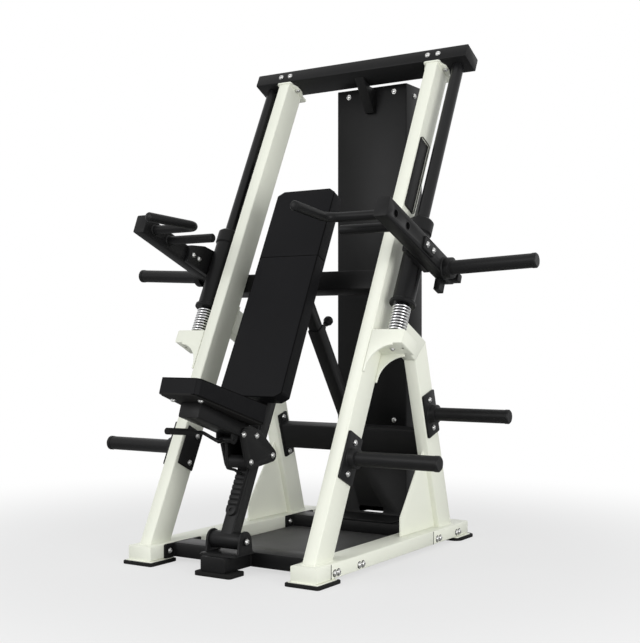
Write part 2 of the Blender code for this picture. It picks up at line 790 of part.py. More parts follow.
def spring(name, parent):
    """A round wire wound round the rod as one tube, from the seat disc up to the sleeve."""
    low = BRACKET_TOP + GAP + SEAT_DISC_THICKNESS + GAP + SPRING_WIRE_R
    high = SLEEVE_BOTTOM - GAP - SPRING_WIRE_R
    straight = 2 * SPRING_WIRE_R
    count = int(SPRING_CURLS * CURL_POINTS)
    points = []
    for i in range(count + 1):
        angle = 2 * math.pi * i / CURL_POINTS
        z = low + (high - low) * i / count
        points.append(Vector((SPRING_R * math.cos(angle), SPRING_R * math.sin(angle), z)))
    first = Vector((0, -straight, 0))
    angle = 2 * math.pi * count / CURL_POINTS
    last = Vector((-math.sin(angle), math.cos(angle), 0)) * straight
    points = [points[0] + first] + points + [points[-1] + last]
    pitch = (high - low) / SPRING_CURLS
    print(f"{name}: least gap between curls {(pitch - 2 * SPRING_WIRE_R) * 1000:.2f} mm")
    data = bpy.data.curves.new(name, "CURVE")
    data.dimensions = "3D"
    line = data.splines.new("POLY")
    line.points.add(len(points) - 1)
    for target, point in zip(line.points, points):
        target.co = (*point, 1)
    data.bevel_depth = SPRING_WIRE_R
    data.bevel_resolution = 1
    data.use_fill_caps = True
    data.materials.append(MATERIALS["chrome"])
    part = bpy.data.objects.new(name, data)
    bpy.context.scene.collection.objects.link(part)
    part.parent = parent
    return part


def top_strut_corners():
    """Depth of the strut's lower and upper rear corners, where the rear leg's edges meet its faces."""
    depths = []
    for edge, up in ((-LEG_DEPTH / 2, STRUT_LOW), (LEG_DEPTH / 2, STRUT_LOW + STRUT_HEIGHT)):
        foot = to_lean(LEG_FOOT_Y + edge * math.cos(LEG_TILT), RAIL_TOP + edge * math.sin(LEG_TILT))
        slope = math.tan(LEAN + LEG_TILT)
        depths.append(foot[0] - (up - foot[1]) * slope)
    return depths


def top_strut(side):
    low, high = top_strut_corners()
    z0 = STRUT_LOW
    z1 = STRUT_LOW + STRUT_HEIGHT

    def back(point):
        return low + (high - low) * (point[1] - z0) / (z1 - z0) - GAP

    mesh = box_tube(UPRIGHT_INNER, z0, UPRIGHT_OUTER, z1, "y", UPRIGHT_DEPTH + GAP, back)
    return mirrored(mesh, side)


def rear_leg(side):
    """A box tube from the rail up to the top strut, mitred at both ends, with a thin gusset in front of its foot."""
    corners = top_strut_corners()
    ends = []
    for depth, up in zip(corners, (STRUT_LOW, STRUT_LOW + STRUT_HEIGHT)):
        y, z = lean_point(depth, up)
        y -= LEG_FOOT_Y
        z -= RAIL_TOP
        ends.append(z * math.cos(LEG_TILT) - y * math.sin(LEG_TILT))
    half = LEG_DEPTH / 2

    def foot(point):
        return -point[1] * math.tan(LEG_TILT) + GAP / math.cos(LEG_TILT)

    def head(point):
        return ends[0] + (ends[1] - ends[0]) * (point[1] + half) / LEG_DEPTH - GAP

    x0 = HALF_TRACK - LEG_WIDTH / 2
    x1 = HALF_TRACK + LEG_WIDTH / 2
    mesh = box_tube(x0, -half, x1, half, "z", foot, head)
    front = LEG_GUSSET_FRONT_Y - LEG_FOOT_Y
    low = GAP
    top = LEG_GUSSET_TOP_Z - RAIL_TOP
    edge = -half / math.cos(LEG_TILT) + WALL / 2
    slope = math.tan(LEG_TILT)
    outline = [(front, low), (edge - low * slope, low), (edge - top * slope, top), (front, LEG_GUSSET_STEP)]
    plate = prism(outline, "x", HALF_TRACK - LEG_GUSSET / 2, HALF_TRACK + LEG_GUSSET / 2)
    mesh = shaped(mesh, ("UNION", moved(plate, turn=-LEG_TILT)))
    return mirrored(mesh, side)


def strut_foot():
    """Where the bench strut is pinned, in the legs' frame."""
    return 0.0, LOWER_BEAM_UP + LOWER_BEAM_HEIGHT + STRUT_FOOT_UP


def lower_beam():
    """A box tube between the rear legs, with a tall bolting flange at each end and two ears for the bench strut."""
    z0 = LOWER_BEAM_UP
    z1 = z0 + LOWER_BEAM_HEIGHT
    half = HALF_TRACK - LEG_WIDTH / 2 - GAP - PLATE / 2
    depth = LOWER_BEAM_DEPTH / 2
    vent = ("z", (0.15, 0, 0), z0 - 0.001, z0 + 2 * WALL)
    mesh = closed_box(-depth, z0, depth, z1, "x", -half, half, vent)
    middle = (z0 + z1) / 2
    width = LOWER_FLANGE_WIDTH / 2
    outline = rounded(-width, middle - LOWER_FLANGE_HEIGHT / 2, width, middle + LOWER_FLANGE_HEIGHT / 2, CORNER)
    ear_in = STRUT_SIZE / 2 + GAP
    y, z = strut_foot()
    ear = [(-STRUT_EAR_R - 0.006, z1 - WALL / 2), (STRUT_EAR_R + 0.006, z1 - WALL / 2)]
    ear += arc((y, z), STRUT_EAR_R, 0, 180, 12)
    for side in (-1, 1):
        flange = prism(outline, "x", half - PLATE / 2, half + PLATE / 2)
        mesh = shaped(mesh, ("UNION", mirrored(flange, side)))
        mesh = shaped(mesh, ("UNION", mirrored(prism(ear, "x", ear_in, ear_in + STRUT_EAR), side)))
    reach = ear_in + STRUT_EAR + 0.01
    return shaped(mesh, ("DIFFERENCE", cylinder(STRUT_PIN_R + PIN_PLAY, "x", (0, y, z), -reach, reach)))


# Tower, a sheet-metal column that stands behind the bench and steadies the crossbar


def tower_wall(low, high):
    return box_tube(-TOWER_HALF, TOWER_FRONT_Y, TOWER_HALF, TOWER_BACK_Y, "z", low, high, SHEET, TOWER_CORNER)


def tower_lower():
    floor = RAIL_TOP + GAP
    mesh = tower_wall(floor + TOWER_PLATE / 2, TOWER_JOINT_Z - GAP)
    half = TOWER_HALF + TOWER_PLATE_RIM
    outline = rounded(-half, REAR_BEAM_Y, half, TOWER_BACK_Y, CORNER)
    hole = rounded(-TOWER_HALF / 2, TOWER_FRONT_Y + 0.03, TOWER_HALF / 2, TOWER_BACK_Y - 0.03, CORNER)
    mesh = shaped(mesh, ("UNION", prism(outline, "z", floor, floor + TOWER_PLATE)))
    z0 = TOWER_SLOT_Z - TOWER_SLOT_HEIGHT / 2
    z1 = TOWER_SLOT_Z + TOWER_SLOT_HEIGHT / 2
    slot = rounded(-TOWER_SLOT_WIDTH / 2, z0, TOWER_SLOT_WIDTH / 2, z1, TOWER_SLOT_HEIGHT / 3, 4)
    mesh = shaped(mesh, ("DIFFERENCE", prism(slot, "y", TOWER_FRONT_Y - 0.001, TOWER_FRONT_Y + 2 * SHEET)))
    return shaped(mesh, ("DIFFERENCE", prism(hole, "z", floor - 0.01, floor + 2 * TOWER_PLATE)))


def tower_upper():
    mesh = tower_wall(TOWER_JOINT_Z, TOWER_TOP_Z - SHEET / 2)
    lid = rounded(-TOWER_HALF, TOWER_FRONT_Y, TOWER_HALF, TOWER_BACK_Y, TOWER_CORNER)
    return shaped(mesh, ("UNION", prism(lid, "z", TOWER_TOP_Z - SHEET, TOWER_TOP_Z)))


def crossbar_brace():
    """A folded channel from under the crossbar down to the tower's front."""
    top = lean_point(BRACE_FRONT, UPRIGHT_TOP - GAP)
    rear = lean_point(CROSSBAR_BACK, UPRIGHT_TOP - GAP)
    back = TOWER_FRONT_Y - GAP
    outline = [top, (back - BRACE_TOE, BRACE_BOTTOM_Z), (back, BRACE_BOTTOM_Z), (back, rear[1] - GAP), rear]
    slope = (Vector(outline[1]) - Vector(outline[0])).normalized()
    inward = Vector((-slope[1], slope[0])) * SHEET
    past = BRACE_DROP
    pocket = [Vector(outline[0]) + inward - slope * past, Vector(outline[1]) + inward + slope * past]
    pocket += [Vector((back + past, pocket[1][1])), Vector((back + past, pocket[0][1]))]
    return shaped(
        prism(outline, "x", -BRACE_HALF, BRACE_HALF),
        ("DIFFERENCE", prism([tuple(p) for p in pocket], "x", -BRACE_HALF + SHEET, BRACE_HALF - SHEET)),
    )


# Horns


def horn_profile(start, length, collar_r):
    """A tube with a collar at its root and a closed, chamfered tip, open at its root."""
    bore = HORN_R - HORN_WALL
    end = start + length
    return [
        (bore, start),
        (collar_r, start),
        (collar_r, start + COLLAR_LENGTH),
        (HORN_R, start + COLLAR_LENGTH),
        (HORN_R, end - HORN_CHAMFER),
        (HORN_R - HORN_CHAMFER, end),
        (0, end),
        (0, end - HORN_WALL),
        (bore, end - HORN_WALL),
    ]


def loading_horn():
    """A tube that rises outward from a collar square to the arm, as a solid bar less its bore."""
    collar = cylinder(LOADING_COLLAR_R, "x", (0, 0, 0), 0, COLLAR_LENGTH, 32)
    outer = [(0, COLLAR_LENGTH / 2)] + horn_profile(0, LOADING_LENGTH, LOADING_COLLAR_R)[3:7]
    outer[1] = (HORN_R, COLLAR_LENGTH / 2)
    bar = turned(outer, "x", (0, 0, 0))
    bore = cylinder(HORN_R - HORN_WALL, "x", (0, 0, 0), -0.01, LOADING_LENGTH - HORN_WALL)
    for mesh in (bar, bore):
        bmesh.ops.transform(mesh, matrix=Matrix.Rotation(-LOADING_TILT, 4, "Y"), verts=mesh.verts)
    place = (ARM_OUTER + GAP, *arm_point(ARM_LENGTH - LOADING_HORN_INSET, LOADING_HORN_UP))
    return moved(shaped(collar, ("UNION", bar), ("DIFFERENCE", bore)), place)


def storage_horn(side, start, length, middle_y, middle_z):
    """A horn on a bolting plate that lies along the post which carries it."""
    wide = HORN_PLATE_WIDE / 2
    long = HORN_PLATE_LONG / 2
    outline = rounded(middle_y - wide, middle_z - long, middle_y + wide, middle_z + long, CORNER)
    centre = (0, middle_y, middle_z)
    outer = horn_profile(start + PLATE / 2, length - PLATE / 2, STORAGE_COLLAR_R)[1:7]
    bar = turned([(0, start + PLATE / 2)] + outer, "x", centre)
    bore = cylinder(HORN_R - HORN_WALL, "x", centre, start - 0.01, start + length - HORN_WALL)
    mesh = shaped(prism(outline, "x", start, start + PLATE), ("UNION", bar), ("DIFFERENCE", bore))
    return mirrored(mesh, side)


# Carriages, given in the leaning frame and moved to the rod's line


def arm_point(along, up):
    """Depth and height in the leaning frame of a point given along and above the arm's lower front corner."""
    y = ARM_FRONT_Y + along * math.cos(ARM_RISE) - up * math.sin(ARM_RISE)
    z = ARM_FRONT_Z + along * math.sin(ARM_RISE) + up * math.cos(ARM_RISE)
    return y, z


def sleeve(side):
    """A long guide tube with a bush lip at each end, and the ear plate that the arm is bolted to."""
    bush = ROD_R + GUIDE_PLAY
    bore = SLEEVE_R - SLEEVE_WALL
    z0 = SLEEVE_BOTTOM
    z1 = SLEEVE_TOP
    profile = [
        (bush, z0),
        (SLEEVE_COLLAR_R - 0.002, z0),
        (SLEEVE_COLLAR_R, z0 + 0.002),
        (SLEEVE_COLLAR_R, z0 + SLEEVE_COLLAR),
        (SLEEVE_R, z0 + SLEEVE_COLLAR + 0.006),
        (SLEEVE_R, HOUSING_BOTTOM - 0.006),
        (HOUSING_R, HOUSING_BOTTOM),
        (HOUSING_R, z1 - 0.008),
        (HOUSING_R - 0.008, z1),
        (bush, z1),
        (bush, z1 - BUSH_LENGTH),
        (bore, z1 - BUSH_LENGTH),
        (bore, z0 + BUSH_LENGTH),
        (bush, z0 + BUSH_LENGTH),
    ]
    mesh = turned(profile, "z", (ROD_X, ROD_Y, 0), closed=True)
    ear = [arm_point(*point) for point in rounded(PLATE_START, 0, PLATE_END, ARM_HEIGHT, CORNER)]
    ear += disc_points((PLATE_EAR_Y, PLATE_EAR_Z), PLATE_EAR_R)
    ear = hull(ear + disc_points((PLATE_BACK_Y, PLATE_BACK_Z), PLATE_BACK_R))
    plate = prism(ear, "x", ROD_X + SLEEVE_R - SLEEVE_WALL / 2, ARM_INNER - GAP)
    bore_cut = cylinder(bore, "z", (ROD_X, ROD_Y, 0), z0, z1)
    mesh = shaped(mesh, ("UNION", shaped(plate, ("DIFFERENCE", bore_cut))))
    return mirrored(mesh, side)


def press_arm(side):
    """A closed box tube that the handles pass through, with a stop block outside and a lug under its rear end."""
    vent = ("z", (ARM_X, ARM_LENGTH - 0.03, 0), -0.001, 2 * WALL)
    mesh = closed_box(ARM_INNER, 0, ARM_OUTER, ARM_HEIGHT, "y", 0, ARM_LENGTH, vent)
    inset = WALL / 2
    stop = rounded(ARM_LENGTH - inset - ARM_STOP_SIZE, inset, ARM_LENGTH - inset, inset + ARM_STOP_SIZE, 0.004)
    lug_end = ARM_LENGTH - ARM_LUG_INSET
    lug = rounded(lug_end - ARM_LUG_LENGTH, -ARM_LUG_DROP, lug_end, WALL / 2, 0.001)
    mesh = shaped(
        mesh,
        ("UNION", prism(stop, "x", ARM_OUTER - WALL / 2, ARM_OUTER + ARM_STOP_REACH)),
        ("UNION", prism(lug, "x", ARM_INNER + GAP, ARM_INNER + ARM_LUG_WIDTH)),
    )
    holes = []
    for along in (FRONT_HANDLE_ALONG, REAR_HANDLE_ALONG):
        centre = (0, along, ARM_HEIGHT / 2)
        holes.append(cylinder(HANDLE_R + GAP, "x", centre, ARM_INNER - 0.01, ARM_OUTER + 0.01, 24))
    mesh = shaped(mesh, ("DIFFERENCE", together(holes)))
    return mirrored(moved(mesh, (0, ARM_FRONT_Y, ARM_FRONT_Z), ARM_RISE), side)


def handle_centre(along):
    return arm_point(along, ARM_HEIGHT / 2)


def handle_bore(along):
    centre = (0, *handle_centre(along))
    return cylinder(HANDLE_BORE_R, "x", centre, ARM_OUTER - HANDLE_BORE, ARM_OUTER + 0.01, 16)


def rear_handle(side):
    tip = HANDLE_REACH_X
    profile = [(0, tip), (HANDLE_R - 0.004, tip), (HANDLE_R, tip + 0.004), (HANDLE_R, ARM_OUTER), (0, ARM_OUTER)]
    mesh = turned(profile, "x", (0, *handle_centre(REAR_HANDLE_ALONG)), 24)
    return mirrored(shaped(mesh, ("DIFFERENCE", handle_bore(REAR_HANDLE_ALONG))), side)


def front_handle(side):
    """A tube that comes in from the arm and bends forward, level, into the grip."""
    root = handle_centre(FRONT_HANDLE_ALONG)
    y, z = lean_point(*root)
    tip = to_lean(y - GRIP_LENGTH, z + GRIP_RISE)
    corner_x = HANDLE_REACH_X
    points = [
        (ARM_OUTER, *root),
        (corner_x, *root),
        (corner_x + GRIP_SPREAD, *tip),
    ]
    mesh = swept(bent_path(points, GRIP_BEND_R, 8), HANDLE_R, 20, dome=0.008)
    return mirrored(shaped(mesh, ("DIFFERENCE", handle_bore(FRONT_HANDLE_ALONG))), side)


# Bench spine and backrest, in a leaning frame whose origin is the bench's pivot


def bench_spine():
    """A tube on a cross barrel, with the seat's notched rack on its front, straps for the backrest and strut ears."""
    half = SPINE_SIZE / 2
    top = SPINE_TOP - PIVOT_UP
    inner = half - WALL
    mesh = shaped(
        prism(rounded(-half, -half, half, half, CORNER), "z", 0, top),
        ("UNION", cylinder(BARREL_R, "x", (0, 0, 0), -BARREL_HALF, BARREL_HALF)),
        ("DIFFERENCE", prism(rounded(-inner, -inner, inner, inner, CORNER - WALL), "z", BARREL_R + WALL, top + 0.01)),
    )
    reach = BARREL_HALF + 0.01
    mesh = shaped(mesh, ("DIFFERENCE", cylinder(PIVOT_R + PIN_PLAY, "x", (0, 0, 0), -reach, reach)))
    low = RACK_LOW - PIVOT_UP
    end = RACK_WIDTH / 2
    front = RACK_FRONT - SPINE_Y
    outline = arc((0, low + end), end, 180, 360, 12) + [(end, RACK_TOP - PIVOT_UP), (-end, RACK_TOP - PIVOT_UP)]
    rack = prism(outline, "y", front, -half + WALL / 2)
    notches = []
    for i in range(NOTCH_COUNT):
        z = FIRST_NOTCH - PIVOT_UP + i * NOTCH_PITCH
        notch = [(front - 0.001, z), (front + NOTCH_DEPTH, z), (front - 0.001, z + NOTCH_HEIGHT)]
        notches.append(prism(notch, "x", -end - 0.01, end + 0.01))
    hole = cylinder(RACK_HOLE_R, "y", (0, 0, low + end), front - 0.01, front + NOTCH_DEPTH, 20)
    rack = shaped(rack, ("DIFFERENCE", together(notches)), ("DIFFERENCE", hole))
    mesh = shaped(mesh, ("UNION", rack))
    strap_back = -half + WALL / 2
    strap_front = BACK_FRONT + BACK_THICKNESS + GAP + BOARD + GAP - SPINE_Y
    for z in (LOWER_STRAP_Z, UPPER_STRAP_Z):
        z0 = z - STRAP_HEIGHT / 2 - PIVOT_UP
        strap = rectangle(-STRAP_HALF, strap_front, STRAP_HALF, strap_back)
        if z0 + STRAP_HEIGHT < top:
            mesh = shaped(mesh, ("UNION", prism(strap, "z", z0, z0 + STRAP_HEIGHT)))
    head_y = STRUT_HEAD_Y - SPINE_Y
    head_z = STRUT_HEAD_Z - PIVOT_UP
    foot = half - WALL / 2
    ear = [(foot, head_z + 2 * STRUT_EAR_R), (foot, head_z - 2 * STRUT_EAR_R)]
    ear = hull(ear + disc_points((head_y, head_z), STRUT_EAR_R))
    ear_in = STRUT_INNER / 2 + OPEN_PIVOT_PLAY
    for side in (-1, 1):
        mesh = shaped(mesh, ("UNION", mirrored(prism(ear, "x", ear_in, ear_in + STRUT_EAR), side)))
    pin = cylinder(HEAD_PIN_R, "x", (0, head_y, head_z), -ear_in - STRUT_EAR / 2, ear_in + STRUT_EAR / 2, 24)
    return shaped(mesh, ("UNION", pin))


def cushion(length, half_at, thickness_at, crown, corner, seam=None, draw=0.003):
    """An upholstered pad: y runs along it, z up from its flat back. Its top is crowned, its sides are drawn in
    between the corners, each corner is cut off by the given width and length, and a sewn channel crosses it
    where seam gives a place."""
    roll = 0.012
    steps = [0.0, 0.002, 0.006, roll, 0.024]
    rows = steps + [length - s for s in reversed(steps)]
    spread = 7
    for i in range(1, spread):
        rows.append(steps[-1] + (length - 2 * steps[-1]) * i / spread)
    if seam is not None:
        rows += [seam + s for s in (-0.010, -0.004, 0.0, 0.004, 0.010)]
        rows = [r for r in rows if r in (0.0, length) or not 0.010 < abs(r - seam) < 0.022]
    rows = sorted(rows)
    across = [-1.0, -0.985, -0.955, -0.90, -0.7, -0.35, 0.0, 0.35, 0.7, 0.90, 0.955, 0.985, 1.0]

    def half_here(y):
        cut = max(0.0, corner[1] - min(y, length - y)) / corner[1]
        return half_at(y / length) - cut * corner[0]

    def pinch(y):
        return math.exp(-(((y - seam) / 0.005) ** 2)) if seam is not None else 0.0

    def lift(distance):
        reach = min(distance, roll) / roll
        return math.sqrt(1 - (1 - reach) ** 2)

    mesh = bmesh.new()
    top = []
    for y in rows:
        half = half_here(y)
        share = y / length
        line = []
        for a in across:
            edge = min((1 - abs(a)) * half, y, length - y)
            z = thickness_at(share) - roll * 0.7 * (1 - lift(edge))
            z += crown * (1 - a * a) * (1 - (2 * share - 1) ** 4)
            z -= 0.005 * pinch(y) * min(1.0, edge / 0.004)
            line.append(mesh.verts.new((a * half, y, z)))
        top.append(line)
    for a, b in zip(top, top[1:]):
        for i in range(len(across) - 1):
            mesh.faces.new((a[i], a[i + 1], b[i + 1], b[i]))
    rim = [line[0] for line in top] + top[-1][1:-1] + [line[-1] for line in reversed(top)] + top[0][-2:0:-1]
    middle = Vector((0, length / 2, 0))
    ring = rim
    for level, swell in ((0.72, 0.0025), (0.45, 0.0030), (0.20, 0.0010), (0.0, -0.002)):
        below = []
        for vert in rim:
            share = vert.co.y / length
            along = 1 - (2 * share - 1) ** 2
            aside = 1 - (vert.co.x / half_here(vert.co.y)) ** 2
            pull = draw * (along if abs(vert.co.x) > 0.99 * half_here(vert.co.y) else aside)
            outward = Vector((vert.co.x, 0, 0)) if 0.001 < vert.co.y < length - 0.001 else Vector((0, vert.co.y, 0)) - middle
            outward.normalize()
            push = swell * (1 - 0.6 * pinch(vert.co.y)) - pull * (1 - level) * (level > 0)
            place = vert.co + outward * push
            if abs(outward.y) > 0.5:
                place.y = min(max(place.y, 0.0), length)
            below.append(mesh.verts.new((place.x, place.y, vert.co.z * level)))
        for i in range(len(rim)):
            j = (i + 1) % len(rim)
            mesh.faces.new((ring[i], ring[j], below[j], below[i]))
        ring = below
    mesh.faces.new(ring)
    return finish(mesh)


def back_half(share):
    """Half the backrest's width at a share of its height: it narrows a little towards its top."""
    return BACK_HALF + (BACK_TOP_HALF - BACK_HALF) * share


def backrest_cushion():
    length = BACK_HIGH - BACK_LOW
    seam = BACK_SEAM_Z - BACK_LOW
    mesh = cushion(length, back_half, lambda share: BACK_THICKNESS - 0.004, 0.004, BACK_CORNER, seam)
    # Its back lies against the board and its length runs up the spine.
    turn = Matrix(((1, 0, 0, 0), (0, 0, -1, 0), (0, 1, 0, 0), (0, 0, 0, 1)))
    bmesh.ops.transform(mesh, matrix=turn, verts=mesh.verts)
    return moved(mesh, (0, BACK_FRONT + BACK_THICKNESS - SPINE_Y, BACK_LOW - PIVOT_UP))


def backrest_board():
    foot = BACK_HALF - BOARD_RIM
    head = BACK_TOP_HALF - BOARD_RIM
    low = BACK_LOW + BOARD_RIM - PIVOT_UP
    high = BACK_HIGH - BOARD_RIM - PIVOT_UP
    cut_x, cut_z = BACK_CORNER
    outline = [(-foot + cut_x, low), (foot - cut_x, low), (foot, low + cut_z), (head, high - cut_z)]
    outline += [(head - cut_x, high), (cut_x - head, high), (-head, high - cut_z), (-foot, low + cut_z)]
    y0 = BACK_FRONT + BACK_THICKNESS + GAP - SPINE_Y
    return prism(outline, "y", y0, y0 + BOARD)


# Bench strut, in a frame at its foot pin whose z runs up the strut


def strut_outer():
    """A square tube with a trunnion pin at its foot and a threaded housing for the pull pin near its open top."""
    half = STRUT_SIZE / 2
    bore = STRUT_INNER / 2 + GUIDE_PLAY
    reach = half + GAP + STRUT_EAR + 0.003
    mesh = shaped(
        prism(rounded(-half, -half, half, half, CORNER), "z", -STRUT_EAR_R, STRUT_OUTER_LENGTH),
        ("UNION", cylinder(STRUT_PIN_R, "x", (0, 0, 0), -reach, reach, 24)),
        ("UNION", cylinder(PULL_HOUSING_R, "y", (0, 0, PULL_PIN_UP), half - WALL, half + PULL_HOUSING, 24)),
        ("DIFFERENCE", prism(rectangle(-bore, -bore, bore, bore), "z", STRUT_SOLID, STRUT_OUTER_LENGTH + 0.01)),
    )
    hole = cylinder(PULL_PIN_R + PIN_PLAY, "y", (0, 0, PULL_PIN_UP), 0, half + PULL_HOUSING + 0.01, 20)
    return shaped(mesh, ("DIFFERENCE", hole))


def strut_length():
    """Distance between the strut's two pins."""
    foot_y, foot_z = strut_foot_place()
    head_y, head_z = lean_point(STRUT_HEAD_Y, STRUT_HEAD_Z)
    return math.hypot(head_y - foot_y, head_z - foot_z)


def strut_foot_place():
    y, z = strut_foot()
    place_y = LEG_FOOT_Y + y * math.cos(LEG_TILT) - z * math.sin(LEG_TILT)
    place_z = RAIL_TOP + y * math.sin(LEG_TILT) + z * math.cos(LEG_TILT)
    return place_y, place_z


def strut_turn():
    foot_y, foot_z = strut_foot_place()
    head_y, head_z = lean_point(STRUT_HEAD_Y, STRUT_HEAD_Z)
    return math.atan2(foot_y - head_y, head_z - foot_z)


def strut_inner():
    """The square tube that slides in the outer one, with a row of holes for the pull pin and an eye at its head."""
    half = STRUT_INNER / 2
    length = strut_length()
    mesh = box_tube(-half, -half, half, half, "z", STRUT_INNER_FOOT, length + STRUT_EYE, corner=0.004)
    eye = cylinder(HEAD_PIN_R + OPEN_PIVOT_PLAY, "x", (0, 0, length), -half - 0.01, half + 0.01, 20)
    holes = []
    for i in range(STRUT_HOLE_COUNT):
        z = PULL_PIN_UP + i * STRUT_HOLE_PITCH
        holes.append(cylinder(PULL_PIN_R + PIN_PLAY, "y", (0, 0, z), half - 2 * WALL, half + 0.01, 16))
    return shaped(mesh, ("DIFFERENCE", eye), ("DIFFERENCE", together(holes)))


def pull_pin():
    """A sprung pin with a mushroom knob. Its nose stops just short of the inner tube."""
    nose = STRUT_INNER / 2 + GUIDE_PLAY
    low = STRUT_SIZE / 2 + PULL_KNOB_OUT - PULL_KNOB / 2
    high = low + PULL_KNOB
    profile = [
        (0, nose),
        (PULL_PIN_R - 0.001, nose),
        (PULL_PIN_R, nose + 0.001),
        (PULL_PIN_R, low),
        (PULL_KNOB_R * 0.6, low),
        (PULL_KNOB_R * 0.75, low + PULL_KNOB * 0.3),
        (PULL_KNOB_R, low + PULL_KNOB * 0.5),
        (PULL_KNOB_R, low + PULL_KNOB * 0.8),
        (PULL_KNOB_R * 0.8, high - 0.001),
        (0, high),
    ]
    return turned(profile, "y", (0, 0, 0), 24)


# Seat, in a leaning frame on the spine, with its tilted pieces in a frame at the seat's nose


def seat_local(y, z):
    """Depth and height from the seat frame's origin of a point given by its base y and z."""
    depth, up = to_lean(y, z)
    return depth - SPINE_Y, up - REAR_BUSH_Z


def seat_nose():
    return seat_local(SEAT_NOSE_Y, SEAT_NOSE_Z)


def side_plate_outline():
    front_y = RACK_FRONT - GUIDE_PLAY - FRONT_BUSH_R
    rear_y = SPINE_BACK + GUIDE_PLAY + REAR_BUSH_R
    points = disc_points((PLATE_NOSE_Y - SPINE_Y, PLATE_NOSE_Z - REAR_BUSH_Z), PLATE_ROUND)
    points += disc_points((PLATE_TOP_Y - SPINE_Y, PLATE_TOP_Z - REAR_BUSH_Z), PLATE_ROUND)
    points += disc_points((front_y - SPINE_Y, FRONT_BUSH_Z - REAR_BUSH_Z), PLATE_ROUND + 0.002)
    points += disc_points((rear_y - SPINE_Y, 0), PLATE_ROUND)
    return hull(points)


def bush_places():
    front_y = RACK_FRONT - GUIDE_PLAY - FRONT_BUSH_R - SPINE_Y
    rear_y = SPINE_BACK + GUIDE_PLAY + REAR_BUSH_R - SPINE_Y
    return (front_y, FRONT_BUSH_Z - REAR_BUSH_Z), (rear_y, 0.0)


def seat_frame():
    """A box tube under the seat board, with a side plate on each flank and two ears for the release lever."""
    half = SEAT_TUBE_WIDTH / 2
    nose = seat_nose()
    turn = LEAN - SEAT_TILT
    low = -GAP - SEAT_TUBE_HEIGHT
    outer = rounded(-half, low, half, -GAP, CORNER)
    inner = rounded(-half + WALL, low + WALL, half - WALL, -GAP - WALL, CORNER - WALL)
    mesh = shaped(
        prism(outer, "y", SEAT_TUBE_FRONT, SEAT_TUBE_REAR),
        ("DIFFERENCE", prism(inner, "y", SEAT_TUBE_FRONT + WALL, SEAT_TUBE_REAR + 0.01)),
    )
    mesh = moved(mesh, (0, nose[0], nose[1]), turn)
    outline = side_plate_outline()
    lever = seat_local(LEVER_Y, LEVER_Z)
    ear = disc_points(lever, LEVER_EAR_R, 20)
    rise = Vector((math.sin(SEAT_TILT - LEAN), math.cos(SEAT_TILT - LEAN))) * (LEVER_EAR_R + 0.006)
    along = Vector((rise[1], -rise[0]))
    ear = hull(ear + [tuple(Vector(lever) + rise + along), tuple(Vector(lever) + rise - along)])
    ear_in = LEVER_HUB_HALF + PIN_PLAY
    for side in (-1, 1):
        plate = prism(outline, "x", half - WALL / 2, half + PLATE)
        mesh = shaped(mesh, ("UNION", mirrored(plate, side)))
        mesh = shaped(mesh, ("UNION", mirrored(prism(ear, "x", ear_in, ear_in + LEVER_EAR), side)))
    reach = half + PLATE + 0.01
    holes = [cylinder(LEVER_PIN_R + PIN_PLAY, "x", (0, *lever), -half + 0.001, half - 0.001, 20)]
    for place in bush_places():
        holes.append(cylinder(BUSH_BOLT_R + PIN_PLAY, "x", (0, *place), -reach, reach, 20))
    return shaped(mesh, ("DIFFERENCE", together(holes)))


def guide_bush(radius):
    """A nylon bush on its bolt, between the seat's side plates."""
    half = SEAT_TUBE_WIDTH / 2
    inside = half - WALL / 2 - GAP
    outside = half + PLATE + GAP
    end = outside + BOLT_HEAD
    right = [(radius - 0.002, inside), (BUSH_BOLT_R, inside), (BUSH_BOLT_R, outside), (BUSH_HEAD_R, outside)]
    right += [(BUSH_HEAD_R, end - 0.001), (BUSH_HEAD_R - 0.002, end), (0, end)]
    left = [(r, -x) for r, x in reversed(right)]
    profile = left + [(radius, 0.002 - inside), (radius, inside - 0.002)] + right
    return turned(profile, "x", (0, 0, 0))


def seat_half(share):
    return SEAT_FRONT_HALF + (SEAT_REAR_HALF - SEAT_FRONT_HALF) * share


def seat_cushion():
    def thickness(share):
        return SEAT_THICKNESS + share * SEAT_LENGTH * math.tan(SEAT_WEDGE) - 0.003

    mesh = cushion(SEAT_LENGTH, seat_half, thickness, 0.003, SEAT_CORNER)
    return moved(mesh, (0, 0, SEAT_BOARD + GAP))


def seat_board():
    rim = SEAT_BOARD_RIM
    front = SEAT_FRONT_HALF - rim
    rear = SEAT_REAR_HALF - rim
    run = SEAT_LENGTH - rim
    cut_x, cut_y = SEAT_CORNER
    outline = [(-front + cut_x, 0), (front - cut_x, 0), (front, cut_y), (rear, run - cut_y), (rear - cut_x, run)]
    outline += [(cut_x - rear, run), (-rear, run - cut_y), (-front, cut_y)]
    return prism(outline, "z", 0, SEAT_BOARD)


def lever_path():
    """The rod's points round the lever's pivot, in base axes: down from the hub, aside and forward to the grip."""
    sides = (LEVER_ROOT_X, LEVER_SIDE_X, LEVER_SIDE_X)
    steps = [(x, -y, z) for x, y, z in zip(sides, LEVER_STEPS_Y, LEVER_STEPS_Z)]
    return [(LEVER_ROOT_X, 0, 0)] + steps


